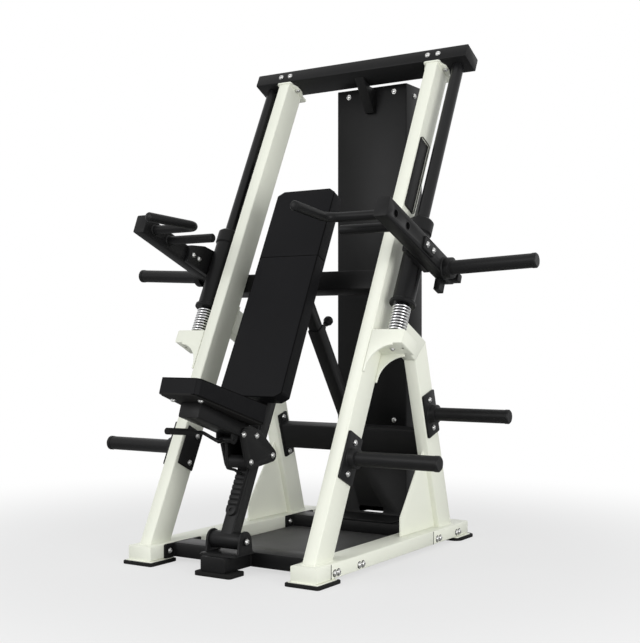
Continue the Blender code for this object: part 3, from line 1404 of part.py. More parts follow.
def release_lever():
    """A hub on a pin with the grip's rod on one side and the pawl that drops behind the rack's teeth below."""
    mesh = cylinder(LEVER_HUB_R, "x", (0, 0, 0), -LEVER_HUB_HALF, LEVER_HUB_HALF, 24)
    pin_half = LEVER_HUB_HALF + PIN_PLAY + LEVER_EAR + 0.002
    rod = swept(bent_path(lever_path(), LEVER_BEND_R, 4), LEVER_ROD_R, 12)
    hub = seat_local(LEVER_Y, LEVER_Z)
    reach = RACK_FRONT - GUIDE_PLAY - SPINE_Y - hub[0]
    drop = FIRST_NOTCH + PAWL_NOTCH * NOTCH_PITCH + NOTCH_HEIGHT / 2 - REAR_BUSH_Z - hub[1]
    tip = Matrix.Rotation(-LEAN, 2) @ Vector((reach, drop))
    heel = Matrix.Rotation(-LEAN, 2) @ Vector((reach - PAWL_TOE, drop))
    points = [(0, 0, 0), (0, PAWL_SHANK_Y, -PAWL_SHANK), (0, *heel), (0, *tip)]
    pawl = swept(bent_path(points, PAWL_BEND_R, 4), PAWL_R, 12)
    return shaped(
        mesh,
        ("UNION", cylinder(LEVER_PIN_R, "x", (0, 0, 0), -pin_half, pin_half, 24)),
        ("UNION", rod),
        ("UNION", pawl),
    )


def lever_grip():
    """A rubber sleeve, closed at its end, on the front of the lever's rod."""
    path = lever_path()
    end = Vector(path[-1])
    way = (end - Vector(path[-2])).normalized()
    start = end - way * (LEVER_GRIP_LENGTH - GRIP_CAP)
    outer = swept([start, end + way * GRIP_CAP + way * GAP], GRIP_R, 20, dome=0.75 * GRIP_CAP)
    bore = swept([start - way * 0.01, end + way * GAP], LEVER_ROD_R + GAP, 12)
    return shaped(outer, ("DIFFERENCE", bore))


# The machine, put together

clear_scene()
MATERIALS = make_materials()

BASE = frame("base", None, (0, -ORIGIN_Y, 0))
LEANING = frame("leaning_frame", BASE, (0, UPRIGHT_SETBACK, RAIL_TOP), -LEAN)
LEGS = frame("rear_leg_frame", BASE, (0, LEG_FOOT_Y, RAIL_TOP), LEG_TILT)
BENCH = frame("bench_pivot", BASE, (0, *lean_point(SPINE_Y, PIVOT_UP)), -LEAN)
SEAT = frame("seat_slide", BENCH, (0, 0, REAR_BUSH_Z - PIVOT_UP))
SEAT_PLANE = frame("seat_plane", SEAT, (0, *seat_nose()), LEAN - SEAT_TILT)
LEVER = frame("lever_pivot", SEAT, (0, *seat_local(LEVER_Y, LEVER_Z)), LEAN)
STRUT = frame("strut_pivot", BASE, (0, *strut_foot_place()), strut_turn())
PULL = frame("pull_pin_axis", STRUT, (0, 0, PULL_PIN_UP))

for side, hand in ((-1, "left"), (1, "right")):
    piece(f"{hand}_base_rail", base_rail(side), BASE, "cream_powder_coat")
    front_foot = rubber_foot(side, -FOOT_RIM, FRONT_FOOT_LENGTH - FOOT_RIM, 0.012)
    piece(f"{hand}_front_foot", front_foot, BASE, "black_rubber")
    rear_end = RAIL_LENGTH + REAR_FOOT_OVERHANG
    rear_foot = rubber_foot(side, rear_end - REAR_FOOT_LENGTH, rear_end, 0.030)
    piece(f"{hand}_rear_foot", rear_foot, BASE, "black_rubber")
    piece(f"{hand}_upright", upright(side), LEANING, "cream_powder_coat")
    piece(f"{hand}_top_strut", top_strut(side), LEANING, "cream_powder_coat")
    piece(f"{hand}_rear_leg", rear_leg(side), LEGS, "cream_powder_coat")
    piece(f"{hand}_spring_bracket", spring_bracket(side), LEANING, "cream_powder_coat")

    rod_line = frame(f"{hand}_rod_line", LEANING, (side * ROD_X, ROD_Y, 0))
    piece(f"{hand}_guide_rod", guide_rod(), rod_line, "black_powder_coat", smooth=True)
    piece(f"{hand}_spring_seat", spring_seat(), rod_line, "cream_powder_coat", smooth=True)
    spring(f"{hand}_spring", rod_line)

    post_x = UPRIGHT_OUTER + GAP
    front_horn = storage_horn(side, post_x, FRONT_HORN_LENGTH, UPRIGHT_DEPTH / 2, FRONT_HORN_UP)
    piece(f"{hand}_front_horn", front_horn, LEANING, "black_powder_coat", smooth=True)
    leg_x = HALF_TRACK + LEG_WIDTH / 2 + GAP
    rear_horn = storage_horn(side, leg_x, REAR_HORN_LENGTH, 0, REAR_HORN_UP)
    piece(f"{hand}_rear_horn", rear_horn, LEGS, "black_powder_coat", smooth=True)

    carriage = frame(f"{hand}_carriage_slide", LEANING, (side * ROD_X, ROD_Y, 0))
    back_to_rod = (-side * ROD_X, -ROD_Y, 0)
    piece(f"{hand}_sleeve", moved(sleeve(side), back_to_rod), carriage, "black_powder_coat", smooth=True)
    piece(f"{hand}_press_arm", moved(press_arm(side), back_to_rod), carriage, "black_powder_coat")
    piece(f"{hand}_front_handle", moved(front_handle(side), back_to_rod), carriage, "black_powder_coat", smooth=True)
    piece(f"{hand}_rear_handle", moved(rear_handle(side), back_to_rod), carriage, "black_powder_coat", smooth=True)
    horn = moved(mirrored(loading_horn(), side), back_to_rod)
    piece(f"{hand}_loading_horn", horn, carriage, "black_powder_coat", smooth=True)

piece("front_base_beam", base_beam(FRONT_BEAM_Y), BASE, "black_powder_coat")
piece("rear_base_beam", base_beam(REAR_BEAM_Y), BASE, "black_powder_coat")
piece("centre_stub", centre_stub(), BASE, "black_powder_coat")
piece("centre_foot", centre_foot(), BASE, "black_rubber")
piece("deck_plate", deck_plate(), BASE, "grey_deck")
CLEVIS = frame("clevis_frame", BASE, (0, *lean_point(SPINE_Y, PIVOT_UP)))
piece("pivot_clevis", pivot_clevis(), CLEVIS, "black_powder_coat", smooth=True)
pivot_bolt = headed_pin(PIVOT_R, PIVOT_HEAD_R, BARREL_HALF + GAP + PLATE, BOLT_HEAD)
piece("pivot_bolt", pivot_bolt, CLEVIS, "zinc_steel", smooth=True)

piece("crossbar", crossbar(), LEANING, "black_powder_coat")
piece("upper_cross_beam", upper_beam(), LEANING, "black_powder_coat")
piece("lower_cross_beam", lower_beam(), LEGS, "black_powder_coat")
piece("tower_lower_panel", tower_lower(), BASE, "black_powder_coat")
piece("tower_upper_panel", tower_upper(), BASE, "black_powder_coat")
piece("crossbar_brace", crossbar_brace(), BASE, "black_powder_coat")

piece("bench_spine", bench_spine(), BENCH, "black_powder_coat")
piece("backrest_board", backrest_board(), BENCH, "black_board")
piece("backrest_cushion", backrest_cushion(), BENCH, "black_leatherette", smooth=True)

piece("strut_outer", strut_outer(), STRUT, "black_powder_coat")
piece("strut_inner", strut_inner(), STRUT, "black_powder_coat")
piece("pull_pin", pull_pin(), PULL, "black_nylon", smooth=True)

piece("seat_frame", seat_frame(), SEAT, "black_powder_coat")
piece("seat_board", seat_board(), SEAT_PLANE, "black_board")
piece("seat_cushion", seat_cushion(), SEAT_PLANE, "black_leatherette", smooth=True)
for name, radius, place in zip(("front_guide_bush", "rear_guide_bush"), (FRONT_BUSH_R, REAR_BUSH_R), bush_places()):
    piece(name, moved(guide_bush(radius), (0, *place)), SEAT, "black_nylon", smooth=True)
piece("release_lever", release_lever(), LEVER, "black_powder_coat", smooth=True)
piece("lever_grip", lever_grip(), LEVER, "black_rubber", smooth=True)
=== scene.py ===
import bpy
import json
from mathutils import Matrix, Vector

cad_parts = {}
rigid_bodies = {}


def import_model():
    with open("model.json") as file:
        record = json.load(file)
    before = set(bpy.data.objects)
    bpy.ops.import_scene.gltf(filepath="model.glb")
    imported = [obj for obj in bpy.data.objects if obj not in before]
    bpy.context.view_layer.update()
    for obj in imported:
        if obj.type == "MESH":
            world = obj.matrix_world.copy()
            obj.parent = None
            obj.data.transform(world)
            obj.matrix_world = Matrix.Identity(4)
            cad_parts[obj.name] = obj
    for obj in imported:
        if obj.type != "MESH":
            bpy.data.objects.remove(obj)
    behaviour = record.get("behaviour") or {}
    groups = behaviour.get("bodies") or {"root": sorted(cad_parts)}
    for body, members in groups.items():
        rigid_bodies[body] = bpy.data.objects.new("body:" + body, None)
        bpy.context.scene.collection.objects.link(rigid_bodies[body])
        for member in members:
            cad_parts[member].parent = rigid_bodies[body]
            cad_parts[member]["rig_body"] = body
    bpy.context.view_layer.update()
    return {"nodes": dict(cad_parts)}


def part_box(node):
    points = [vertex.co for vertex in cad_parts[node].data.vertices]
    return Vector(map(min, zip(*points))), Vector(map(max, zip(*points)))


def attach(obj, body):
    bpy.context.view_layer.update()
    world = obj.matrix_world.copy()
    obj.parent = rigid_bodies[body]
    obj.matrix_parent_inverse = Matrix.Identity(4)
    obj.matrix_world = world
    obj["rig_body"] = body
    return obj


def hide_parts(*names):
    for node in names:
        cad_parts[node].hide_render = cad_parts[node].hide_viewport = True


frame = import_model()

import json
import math

import bpy
from mathutils import Matrix, Vector

# Base rails
# Two closed 100 x 50 mm box tubes on the floor, with a thin foot plate welded under each end.
# Blasted, then sprayed with a cream powder coat, which rounds every edge and dries with a fine orange peel.


def alone(part):
    """Selects one part and nothing else."""
    bpy.ops.object.select_all(action="DESELECT")
    part.select_set(True)
    bpy.context.view_layer.objects.active = part


def node_group(name, inputs, outputs):
    """An empty shader effect with named inputs and outputs, to be used by several materials."""
    group = bpy.data.node_groups.new(name, "ShaderNodeTree")
    for label, kind, value in inputs:
        socket = group.interface.new_socket(label, in_out="INPUT", socket_type=kind)
        socket.default_value = value
    for label, kind in outputs:
        group.interface.new_socket(label, in_out="OUTPUT", socket_type=kind)
    return group, group.nodes.new("NodeGroupInput"), group.nodes.new("NodeGroupOutput")


def wire(tree, *pairs):
    """Links each pair of sockets."""
    for source, target in pairs:
        tree.links.new(source, target)


def set_inputs(node, **values):
    """Sets inputs of a shader node by their names, with _ for a space."""
    for label, value in values.items():
        node.inputs[label.replace("_", " ")].default_value = value
    return node


def add(tree, kind, **values):
    """Adds a shader node and sets its inputs."""
    return set_inputs(tree.nodes.new("ShaderNode" + kind), **values)


def sprayed_grain():
    """The small soft lumps of a sprayed coat, as a height, and slow drifts in its tone, as a mask."""
    group, given, out = node_group(
        "sprayed_grain",
        [("Lump scale", "NodeSocketFloat", 420.0)],
        [("Height", "NodeSocketFloat"), ("Drift", "NodeSocketFloat")],
    )
    place = add(group, "TexCoord")
    lumps = add(group, "TexNoise", Detail=1.5, Roughness=0.45)
    drift = add(group, "TexNoise", Scale=5.0, Detail=4.0)
    wire(
        group,
        (place.outputs["Object"], lumps.inputs["Vector"]),
        (place.outputs["Object"], drift.inputs["Vector"]),
        (given.outputs["Lump scale"], lumps.inputs["Scale"]),
        (lumps.outputs["Fac"], out.inputs["Height"]),
        (drift.outputs["Fac"], out.inputs["Drift"]),
    )
    return group


def rubbed_and_highlit_edges():
    """A mask of the sharp edges, broken up by noise: where a finish is thin or rubbed, and on the black coat
    also a painted edge highlight.
    """
    group, given, out = node_group(
        "rubbed_and_highlit_edges",
        [("Width", "NodeSocketFloat", 0.0012), ("Patch scale", "NodeSocketFloat", 60.0)],
        [("Mask", "NodeSocketFloat")],
    )
    soft = add(group, "Bevel")
    soft.samples = 4
    shape = add(group, "NewGeometry")
    angle = add(group, "VectorMath")
    angle.operation = "DOT_PRODUCT"
    sharp = add(group, "MapRange", From_Min=0.99, From_Max=0.86)
    place = add(group, "TexCoord")
    patches = add(group, "TexNoise", Detail=5.0)
    ragged = add(group, "MapRange", From_Min=0.42, From_Max=0.62)
    both = add(group, "Math")
    both.operation = "MULTIPLY"
    wire(
        group,
        (given.outputs["Width"], soft.inputs["Radius"]),
        (soft.outputs["Normal"], angle.inputs[0]),
        (shape.outputs["Normal"], angle.inputs[1]),
        (angle.outputs["Value"], sharp.inputs["Value"]),
        (place.outputs["Object"], patches.inputs["Vector"]),
        (given.outputs["Patch scale"], patches.inputs["Scale"]),
        (patches.outputs["Fac"], ragged.inputs["Value"]),
        (sharp.outputs["Result"], both.inputs[0]),
        (ragged.outputs["Result"], both.inputs[1]),
        (both.outputs["Value"], out.inputs["Mask"]),
    )
    return group


SPRAYED_GRAIN = sprayed_grain()
RUBBED_AND_HIGHLIT_EDGES = rubbed_and_highlit_edges()


def new_finish(name, colour, roughness, metallic=0.0, shine=0.5):
    """A material with a plain shader, under the name given."""
    material = bpy.data.materials.new(name)
    material.use_nodes = True
    shader = material.node_tree.nodes["Principled BSDF"]
    set_inputs(shader, Base_Color=(*colour, 1.0), Roughness=roughness)
    set_inputs(shader, Metallic=metallic, Specular_IOR_Level=shine)
    return material, material.node_tree, shader


def effect(tree, group, **values):
    """Places a shared effect in a material, with this material's own values."""
    node = add(tree, "Group")
    node.node_tree = group
    return set_inputs(node, **values)


def blend_colours(tree, mask, first, second, target):
    """Puts a mix of two colours, or of a socket and a colour, by a mask into a colour socket."""
    mix = add(tree, "Mix")
    mix.data_type = "RGBA"
    tree.links.new(mask, mix.inputs["Factor"])
    for colour, socket in ((first, mix.inputs["A"]), (second, mix.inputs["B"])):
        if isinstance(colour, tuple):
            socket.default_value = (*colour, 1.0)
        else:
            tree.links.new(colour, socket)
    if target is not None:
        tree.links.new(mix.outputs["Result"], target)
    return mix.outputs["Result"]


def blend_values(tree, mask, low, high, target):
    """Spreads a mask over a span of values."""
    scale = add(tree, "MapRange", To_Min=low, To_Max=high)
    wire(tree, (mask, scale.inputs["Value"]), (scale.outputs["Result"], target))


def raise_surface(tree, shader, height, depth, strength=1.0, onto=None):
    """Lifts the surface by a height, on top of another such relief where one is given."""
    bump = add(tree, "Bump", Distance=depth, Strength=strength)
    tree.links.new(height, bump.inputs["Height"])
    if onto is not None:
        tree.links.new(onto, bump.inputs["Normal"])
    tree.links.new(bump.outputs["Normal"], shader.inputs["Normal"])
    return bump.outputs["Normal"]


def powder_coat(name, tone, drifted, worn_and_highlit, roughness, lumps, depth, shine=0.5):
    """A satin powder coat: orange peel, a slow drift in tone, and edges where the coat is thin. Where the
    edge colour is lighter than the coat, as on the black one, it is partly a painted highlight.
    """
    material, tree, shader = new_finish(name, tone, roughness[0], shine=shine)
    grain = effect(tree, SPRAYED_GRAIN, Lump_scale=lumps)
    edges = effect(tree, RUBBED_AND_HIGHLIT_EDGES, Width=0.0014, Patch_scale=45.0)
    base = blend_colours(tree, grain.outputs["Drift"], tone, drifted, None)
    # Edge colour: rubbed edges, and where it is lighter than the coat also a painted highlight along them.
    blend_colours(tree, edges.outputs["Mask"], base, worn_and_highlit, shader.inputs["Base Color"])
    blend_values(tree, grain.outputs["Drift"], roughness[0], roughness[1], shader.inputs["Roughness"])
    raise_surface(tree, shader, grain.outputs["Height"], depth)
    return material


CREAM_COAT = powder_coat(
    "cream_powder_coat", (0.80, 0.815, 0.712), (0.775, 0.79, 0.688), (0.62, 0.61, 0.54),
    (0.36, 0.46), 480.0, 0.00012,
)


def coated(node, finish, ease=0.0010, bend=35.0):
    """A cut and welded part with its coat on: the solid's own form, its edges eased as a coat rounds them."""
    part = bpy.data.objects.new(node + "_coated", frame["nodes"][node].data.copy())
    bpy.context.scene.collection.objects.link(part)
    alone(part)
    if part.data.has_custom_normals:
        bpy.ops.mesh.customdata_custom_splitnormals_clear()
    bpy.ops.object.mode_set(mode="EDIT")
    bpy.ops.mesh.select_all(action="SELECT")
    bpy.ops.mesh.remove_doubles(threshold=0.00001)
    bpy.ops.mesh.dissolve_limited(angle_limit=math.radians(0.5))
    bpy.ops.object.mode_set(mode="OBJECT")
    if ease > 0:
        eased = part.modifiers.new("eased", "BEVEL")
        eased.width = ease
        eased.segments = 2
        eased.limit_method = "ANGLE"
        eased.angle_limit = math.radians(bend)
        eased.use_clamp_overlap = False
        bpy.ops.object.modifier_apply(modifier="eased")
    bpy.ops.object.shade_smooth_by_angle(angle=math.radians(31))
    part.data.materials.clear()
    part.data.materials.append(finish)
    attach(part, frame["nodes"][node]["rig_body"])
    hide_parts(node)
    return part


def bright_metal(name, tone, roughness, scratch):
    """Plated steel, a little cloudy from handling."""
    material, tree, shader = new_finish(name, tone, roughness[0], metallic=1.0)
    place = add(tree, "TexCoord")
    marks = add(tree, "TexNoise", Scale=scratch, Detail=6.0)
    wire(tree, (place.outputs["Object"], marks.inputs["Vector"]))
    blend_values(tree, marks.outputs["Fac"], roughness[0], roughness[1], shader.inputs["Roughness"])
    darker = tuple(0.86 * channel for channel in tone)
    blend_colours(tree, marks.outputs["Fac"], tone, darker, shader.inputs["Base Color"])
    raise_surface(tree, shader, marks.outputs["Fac"], 0.00002)
    return material


ZINC = bright_metal("zinc_steel", (0.66, 0.66, 0.65), (0.24, 0.38), 240.0)


def lathed(name, stations, sides=64):
    """A turned form: a disc drawn up through rings of (radius, height) along its own axis."""
    bpy.ops.object.select_all(action="DESELECT")
    radius, height = stations[0]
    bpy.ops.mesh.primitive_circle_add(vertices=sides, radius=radius, fill_type="NGON", location=(0, 0, 0))
    part = bpy.context.object
    part.name = name
    bpy.ops.object.mode_set(mode="EDIT")
    bpy.ops.mesh.select_all(action="SELECT")
    bpy.ops.transform.translate(value=(0, 0, height))
    for next_radius, next_height in stations[1:]:
        bpy.ops.mesh.extrude_region_move(TRANSFORM_OT_translate={"value": (0, 0, next_height - height)})
        share = next_radius / radius
        bpy.ops.transform.resize(value=(share, share, 1), center_override=(0, 0, 0))
        radius, height = next_radius, next_height
    bpy.ops.mesh.select_all(action="SELECT")
    bpy.ops.mesh.normals_make_consistent(inside=False)
    bpy.ops.object.mode_set(mode="OBJECT")
    return part


def fitted(part, place, finish, body, bend=30.0):
    """Sets a finished form in its place on the body that carries it, with its finish."""
    alone(part)
    part.data.transform(place)
    bpy.ops.object.shade_smooth_by_angle(angle=math.radians(bend))
    part.data.materials.clear()
    part.data.materials.append(finish)
    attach(part, body)
    return part


def facing(point, outward):
    """A place on a surface whose own Z looks outward."""
    return Matrix.Translation(point) @ Vector(outward).to_track_quat("Z", "Y").to_matrix().to_4x4()


def button_head():
    """A zinc-plated button-head screw on its washer, with a hexagon socket, 10 mm thread."""
    washer = [(0.0098, 0.0), (0.0103, 0.0004), (0.0103, 0.0012), (0.0099, 0.0016), (0.0087, 0.0016)]
    head = [(0.0088, 0.0026), (0.0083, 0.0040), (0.0071, 0.0053), (0.0054, 0.0061), (0.0038, 0.0063)]
    socket = [(0.0035, 0.0060), (0.0034, 0.0028)]
    screw = lathed("button_head", washer + head + socket, sides=24)
    for point in screw.data.vertices:
        reach = math.hypot(point.co.x, point.co.y)
        if reach < 0.0036:
            turn = math.atan2(point.co.y, point.co.x) % math.radians(60)
            side = 0.0030 / math.cos(turn - math.radians(30))
            point.co.x *= side / reach
            point.co.y *= side / reach
    alone(screw)
    bpy.ops.object.shade_smooth_by_angle(angle=math.radians(28))
    screw.data.materials.append(ZINC)
    shape = screw.data
    bpy.data.objects.remove(screw)
    return shape


SCREW = button_head()


def fasten(name, place, body):
    """One more of the same screw, tight on a surface and turned as it happened to stop."""
    screw = bpy.data.objects.new(name, SCREW.copy())
    bpy.context.scene.collection.objects.link(screw)
    stopped = math.radians(sum(ord(letter) for letter in name) * 7.0 % 60)
    screw.data.transform(place @ Matrix.Rotation(stopped, 4, "Z"))
    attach(screw, body)


def bead(name, start, end, radius, finish, body):
    """A run of weld between two points: a thin rod whose ripples follow the puddles of the torch."""
    start, end = Vector(start), Vector(end)
    length = (end - start).length
    count = max(4, round(length / 0.0035))
    stations = [(radius * 0.45, 0.0)]
    for i in range(count):
        stations.append((radius * (1.0 if i % 2 else 0.78), length * (i + 0.5) / count))
    stations.append((radius * 0.45, length))
    fitted(lathed(name, stations, sides=8), facing(start, end - start), finish, body, bend=70.0)


def fillet(name, place, radius, width, finish, body):
    """A round of weld at the foot of a tube that stands on a surface."""
    stations = [
        (radius + width, 0.0),
        (radius + width * 0.92, width * 0.28),
        (radius + width * 0.55, width * 0.68),
        (radius + width * 0.16, width * 0.95),
        (radius, width),
    ]
    ring = lathed(name, stations, sides=64)
    for point in ring.data.vertices:
        reach = math.hypot(point.co.x, point.co.y)
        if reach > radius + 0.0001:
            turn = math.atan2(point.co.y, point.co.x)
            ripple = 1.0 + 0.10 * width / reach * math.cos(turn * 32)
            point.co.x *= ripple
            point.co.y *= ripple
    fitted(ring, place, finish, body, bend=70.0)


def bare_plate(name, size, corner, place, finish, body):
    """A cut plate: its corners are rounded, then its rims are eased. Its own Z looks out of the surface."""
    bpy.ops.object.select_all(action="DESELECT")
    bpy.ops.mesh.primitive_cube_add(size=1, location=(0, 0, 0))
    part = bpy.context.object
    part.name = name
    bpy.ops.object.mode_set(mode="EDIT")
    bpy.ops.mesh.select_all(action="SELECT")
    bpy.ops.transform.resize(value=size)
    bpy.ops.transform.translate(value=(0, 0, size[2] / 2))
    bpy.ops.mesh.select_all(action="DESELECT")
    bpy.ops.object.mode_set(mode="OBJECT")
    for edge in part.data.edges:
        ends = [part.data.vertices[i].co for i in edge.vertices]
        edge.select = abs(ends[0].z - ends[1].z) > 0.5 * size[2]
    bpy.ops.object.mode_set(mode="EDIT")
    bpy.ops.mesh.select_mode(type="EDGE")
    bpy.ops.mesh.bevel(offset=corner, segments=5, affect="EDGES")
    bpy.ops.mesh.select_mode(type="VERT")
    bpy.ops.object.mode_set(mode="OBJECT")
    rims = part.modifiers.new("rims", "BEVEL")
    rims.width = min(0.0009, size[2] * 0.4)
    rims.segments = 2
    rims.limit_method = "ANGLE"
    rims.angle_limit = math.radians(50)
    bpy.ops.object.modifier_apply(modifier="rims")
    fitted(part, place, finish, body)


HANDS = (("left", -1), ("right", 1))
ORIGIN_Y = 0.47275
RAIL_FACE = 0.388
RAIL_SCREW_Z = 0.033
SCREW_STEP = 0.0115
rail_washers = []
for hand, side in HANDS:
    coated(f"{hand}_base_rail", CREAM_COAT)
    for i, y in enumerate((0.117, 0.273, 0.849, 1.015)):
        for end, step in (("front", -SCREW_STEP), ("back", SCREW_STEP)):
            place = facing((side * RAIL_FACE, y + step - ORIGIN_Y, RAIL_SCREW_Z), (side, 0, 0))
            fasten(f"{hand}_rail_screw_{i + 1}_{end}", place @ Matrix.Translation((0, 0, 0.0008)), "frame")
            rail_washers.append((f"{hand}_rail_washer_{i + 1}_{end}", place))

# Rubber feet
# A moulded black pad is glued under each end of the rails and under the centre stub. Thin washers of the same
# rubber lie under the rails' screws. Thin strips of it across the rails' outer sides are painted shade: dark
# lines that stand for the shadow lines there.


def fine_grit():
    """The dull, slightly pitted skin of moulded rubber or nylon, as a height."""
    group, given, out = node_group(
        "fine_grit",
        [("Pit scale", "NodeSocketFloat", 900.0)],
        [("Height", "NodeSocketFloat"), ("Bloom", "NodeSocketFloat")],
    )
    place = add(group, "TexCoord")
    pits = add(group, "TexVoronoi")
    pits.feature = "SMOOTH_F1"
    bloom = add(group, "TexNoise", Scale=22.0, Detail=6.0)
    wire(
        group,
        (place.outputs["Object"], pits.inputs["Vector"]),
        (place.outputs["Object"], bloom.inputs["Vector"]),
        (given.outputs["Pit scale"], pits.inputs["Scale"]),
        (pits.outputs["Distance"], out.inputs["Height"]),
        (bloom.outputs["Fac"], out.inputs["Bloom"]),
    )
    return group


FINE_GRIT = fine_grit()


def moulded(name, tone, bloomed, roughness, pits, depth, shine=0.12):
    """Moulded rubber, nylon or board: dull and pitted, with a faint bloom that drifts over it."""
    material, tree, shader = new_finish(name, tone, roughness[0], shine=shine)
    grit = effect(tree, FINE_GRIT, Pit_scale=pits)
    blend_colours(tree, grit.outputs["Bloom"], tone, bloomed, shader.inputs["Base Color"])
    blend_values(tree, grit.outputs["Bloom"], roughness[0], roughness[1], shader.inputs["Roughness"])
    raise_surface(tree, shader, grit.outputs["Height"], depth)
    return material


RUBBER = moulded("black_rubber", (0.007, 0.007, 0.007), (0.014, 0.014, 0.0135), (0.70, 0.86), 700.0, 0.00015)
for node in ("left_front_foot", "left_rear_foot", "right_front_foot", "right_rear_foot", "centre_foot"):
    coated(node, RUBBER, ease=0.0020)
for name, place in rail_washers:
    ring = lathed(name, [(0.0118, 0.0), (0.0124, 0.0003), (0.0124, 0.0006), (0.0118, 0.0008)], sides=32)
    fitted(ring, place, RUBBER, "frame")
# Painted shade: thin dark rubber strips laid across each rail's outer side as shadow lines.
for hand, side in HANDS:
    for i, y in enumerate((0.084, 0.806)):
        place = Matrix.Translation((side * RAIL_FACE, y - ORIGIN_Y, 0.040))
        place @= Matrix.Rotation(side * math.radians(90), 4, "Y")
        strip = (0.047, 0.0026, 0.0003)
        bare_plate(f"{hand}_rail_shade_line_{i + 1}", strip, 0.0006, place, RUBBER, "frame")

# Base beams, centre stub and clevis
# Black box tubes and folded plate, under a satin black coat with a finer, drier grain than the cream one.
# The beams are bolted between the rails through flanges on their ends. The clevis is welded on the stub.

# Its edge colour is lighter than its face: rubbed edges, and partly a painted highlight along them.
BLACK_COAT = powder_coat(
    "black_powder_coat", (0.0068, 0.0068, 0.0070), (0.0105, 0.0105, 0.0108), (0.022, 0.022, 0.022),
    (0.36, 0.48), 900.0, 0.00010, shine=0.14,
)
FLANGE_FACE = 0.2797
BEAM_WELD = (0.018, 0.062)
for node in ("front_base_beam", "rear_base_beam", "centre_stub", "pivot_clevis"):
    coated(node, BLACK_COAT)
for hand, side in HANDS:
    for i, y in enumerate((0.093, 0.243, 0.845, 0.995)):
        place = facing((side * FLANGE_FACE, y - ORIGIN_Y, 0.040), (-side, 0, 0))
        fasten(f"{hand}_flange_screw_{i + 1}", place, "frame")
    for end, low, high in (("front", 0.118, 0.218), ("rear", 0.870, 0.970)):
        for edge, y in (("front", low), ("back", high)):
            line = [(side * FLANGE_FACE, y - ORIGIN_Y, z) for z in BEAM_WELD]
            bead(f"{hand}_{end}_beam_weld_{edge}", *line, 0.0030, BLACK_COAT, "frame")
    line = [(side * 0.050, 0.118 - ORIGIN_Y, z) for z in BEAM_WELD]
    bead(f"{hand}_stub_weld", *line, 0.0030, BLACK_COAT, "frame")

low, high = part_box("pivot_clevis")
rim = [(low[0], low[1]), (high[0], low[1]), (high[0], high[1]), (low[0], high[1]), (low[0], low[1])]
for i, (start, end) in enumerate(zip(rim, rim[1:])):
    line = [(*start, low[2] + 0.0006), (*end, low[2] + 0.0006)]
    bead(f"clevis_weld_{i + 1}", *line, 0.0028, BLACK_COAT, "frame")

# Deck plate
# A flat sheet of pebbled plastic that the lifter's feet rest on, laid on the floor between the rails.
# Its grey skin is scuffed and a little dusty.


def deck_finish():
    """Grey pebbled plastic with scuffs."""
    dusty = (0.060, 0.0595, 0.058)
    material, tree, shader = new_finish("grey_deck", dusty, 0.6)
    place = add(tree, "TexCoord")
    pebbles = add(tree, "TexVoronoi", Scale=260.0)
    scuffs = add(tree, "TexNoise", Scale=9.0, Detail=7.0)
    wire(
        tree,
        (place.outputs["Object"], pebbles.inputs["Vector"]),
        (place.outputs["Object"], scuffs.inputs["Vector"]),
    )
    blend_colours(tree, scuffs.outputs["Fac"], (0.030, 0.030, 0.030), dusty, shader.inputs["Base Color"])
    blend_values(tree, scuffs.outputs["Fac"], 0.50, 0.68, shader.inputs["Roughness"])
    raise_surface(tree, shader, pebbles.outputs["Distance"], 0.0004)
    return material


coated("deck_plate", deck_finish())

# Uprights, top struts, rear legs and spring brackets
# Box tubes mitred to lie flat on the rails and on each other, with a folded bracket for each rod and spring.
# All are welded round their joints and sprayed cream. A bare black plate with a fine border is on each post.

LEAN = math.radians(26.07)
LEG_TILT = math.radians(17.03)
RAIL_TOP = 0.065
LEANING = Matrix.Translation((0, 0.0254 - ORIGIN_Y, RAIL_TOP)) @ Matrix.Rotation(-LEAN, 4, "X")
LEGS = Matrix.Translation((0, 0.9574 - ORIGIN_Y, RAIL_TOP)) @ Matrix.Rotation(LEG_TILT, 4, "X")
POST_X = 0.338
POST_INNER = 0.313
POST_OUTER = 0.363
ROD_X = 0.427
ROD_Y = 0.050


def beads(name, points, radius, finish, body, place=Matrix()):
    """Weld runs along a line that turns corners."""
    points = [place @ Vector(point) for point in points]
    for i, (start, end) in enumerate(zip(points, points[1:])):
        bead(f"{name}_{i + 1}", start, end, radius, finish, body)


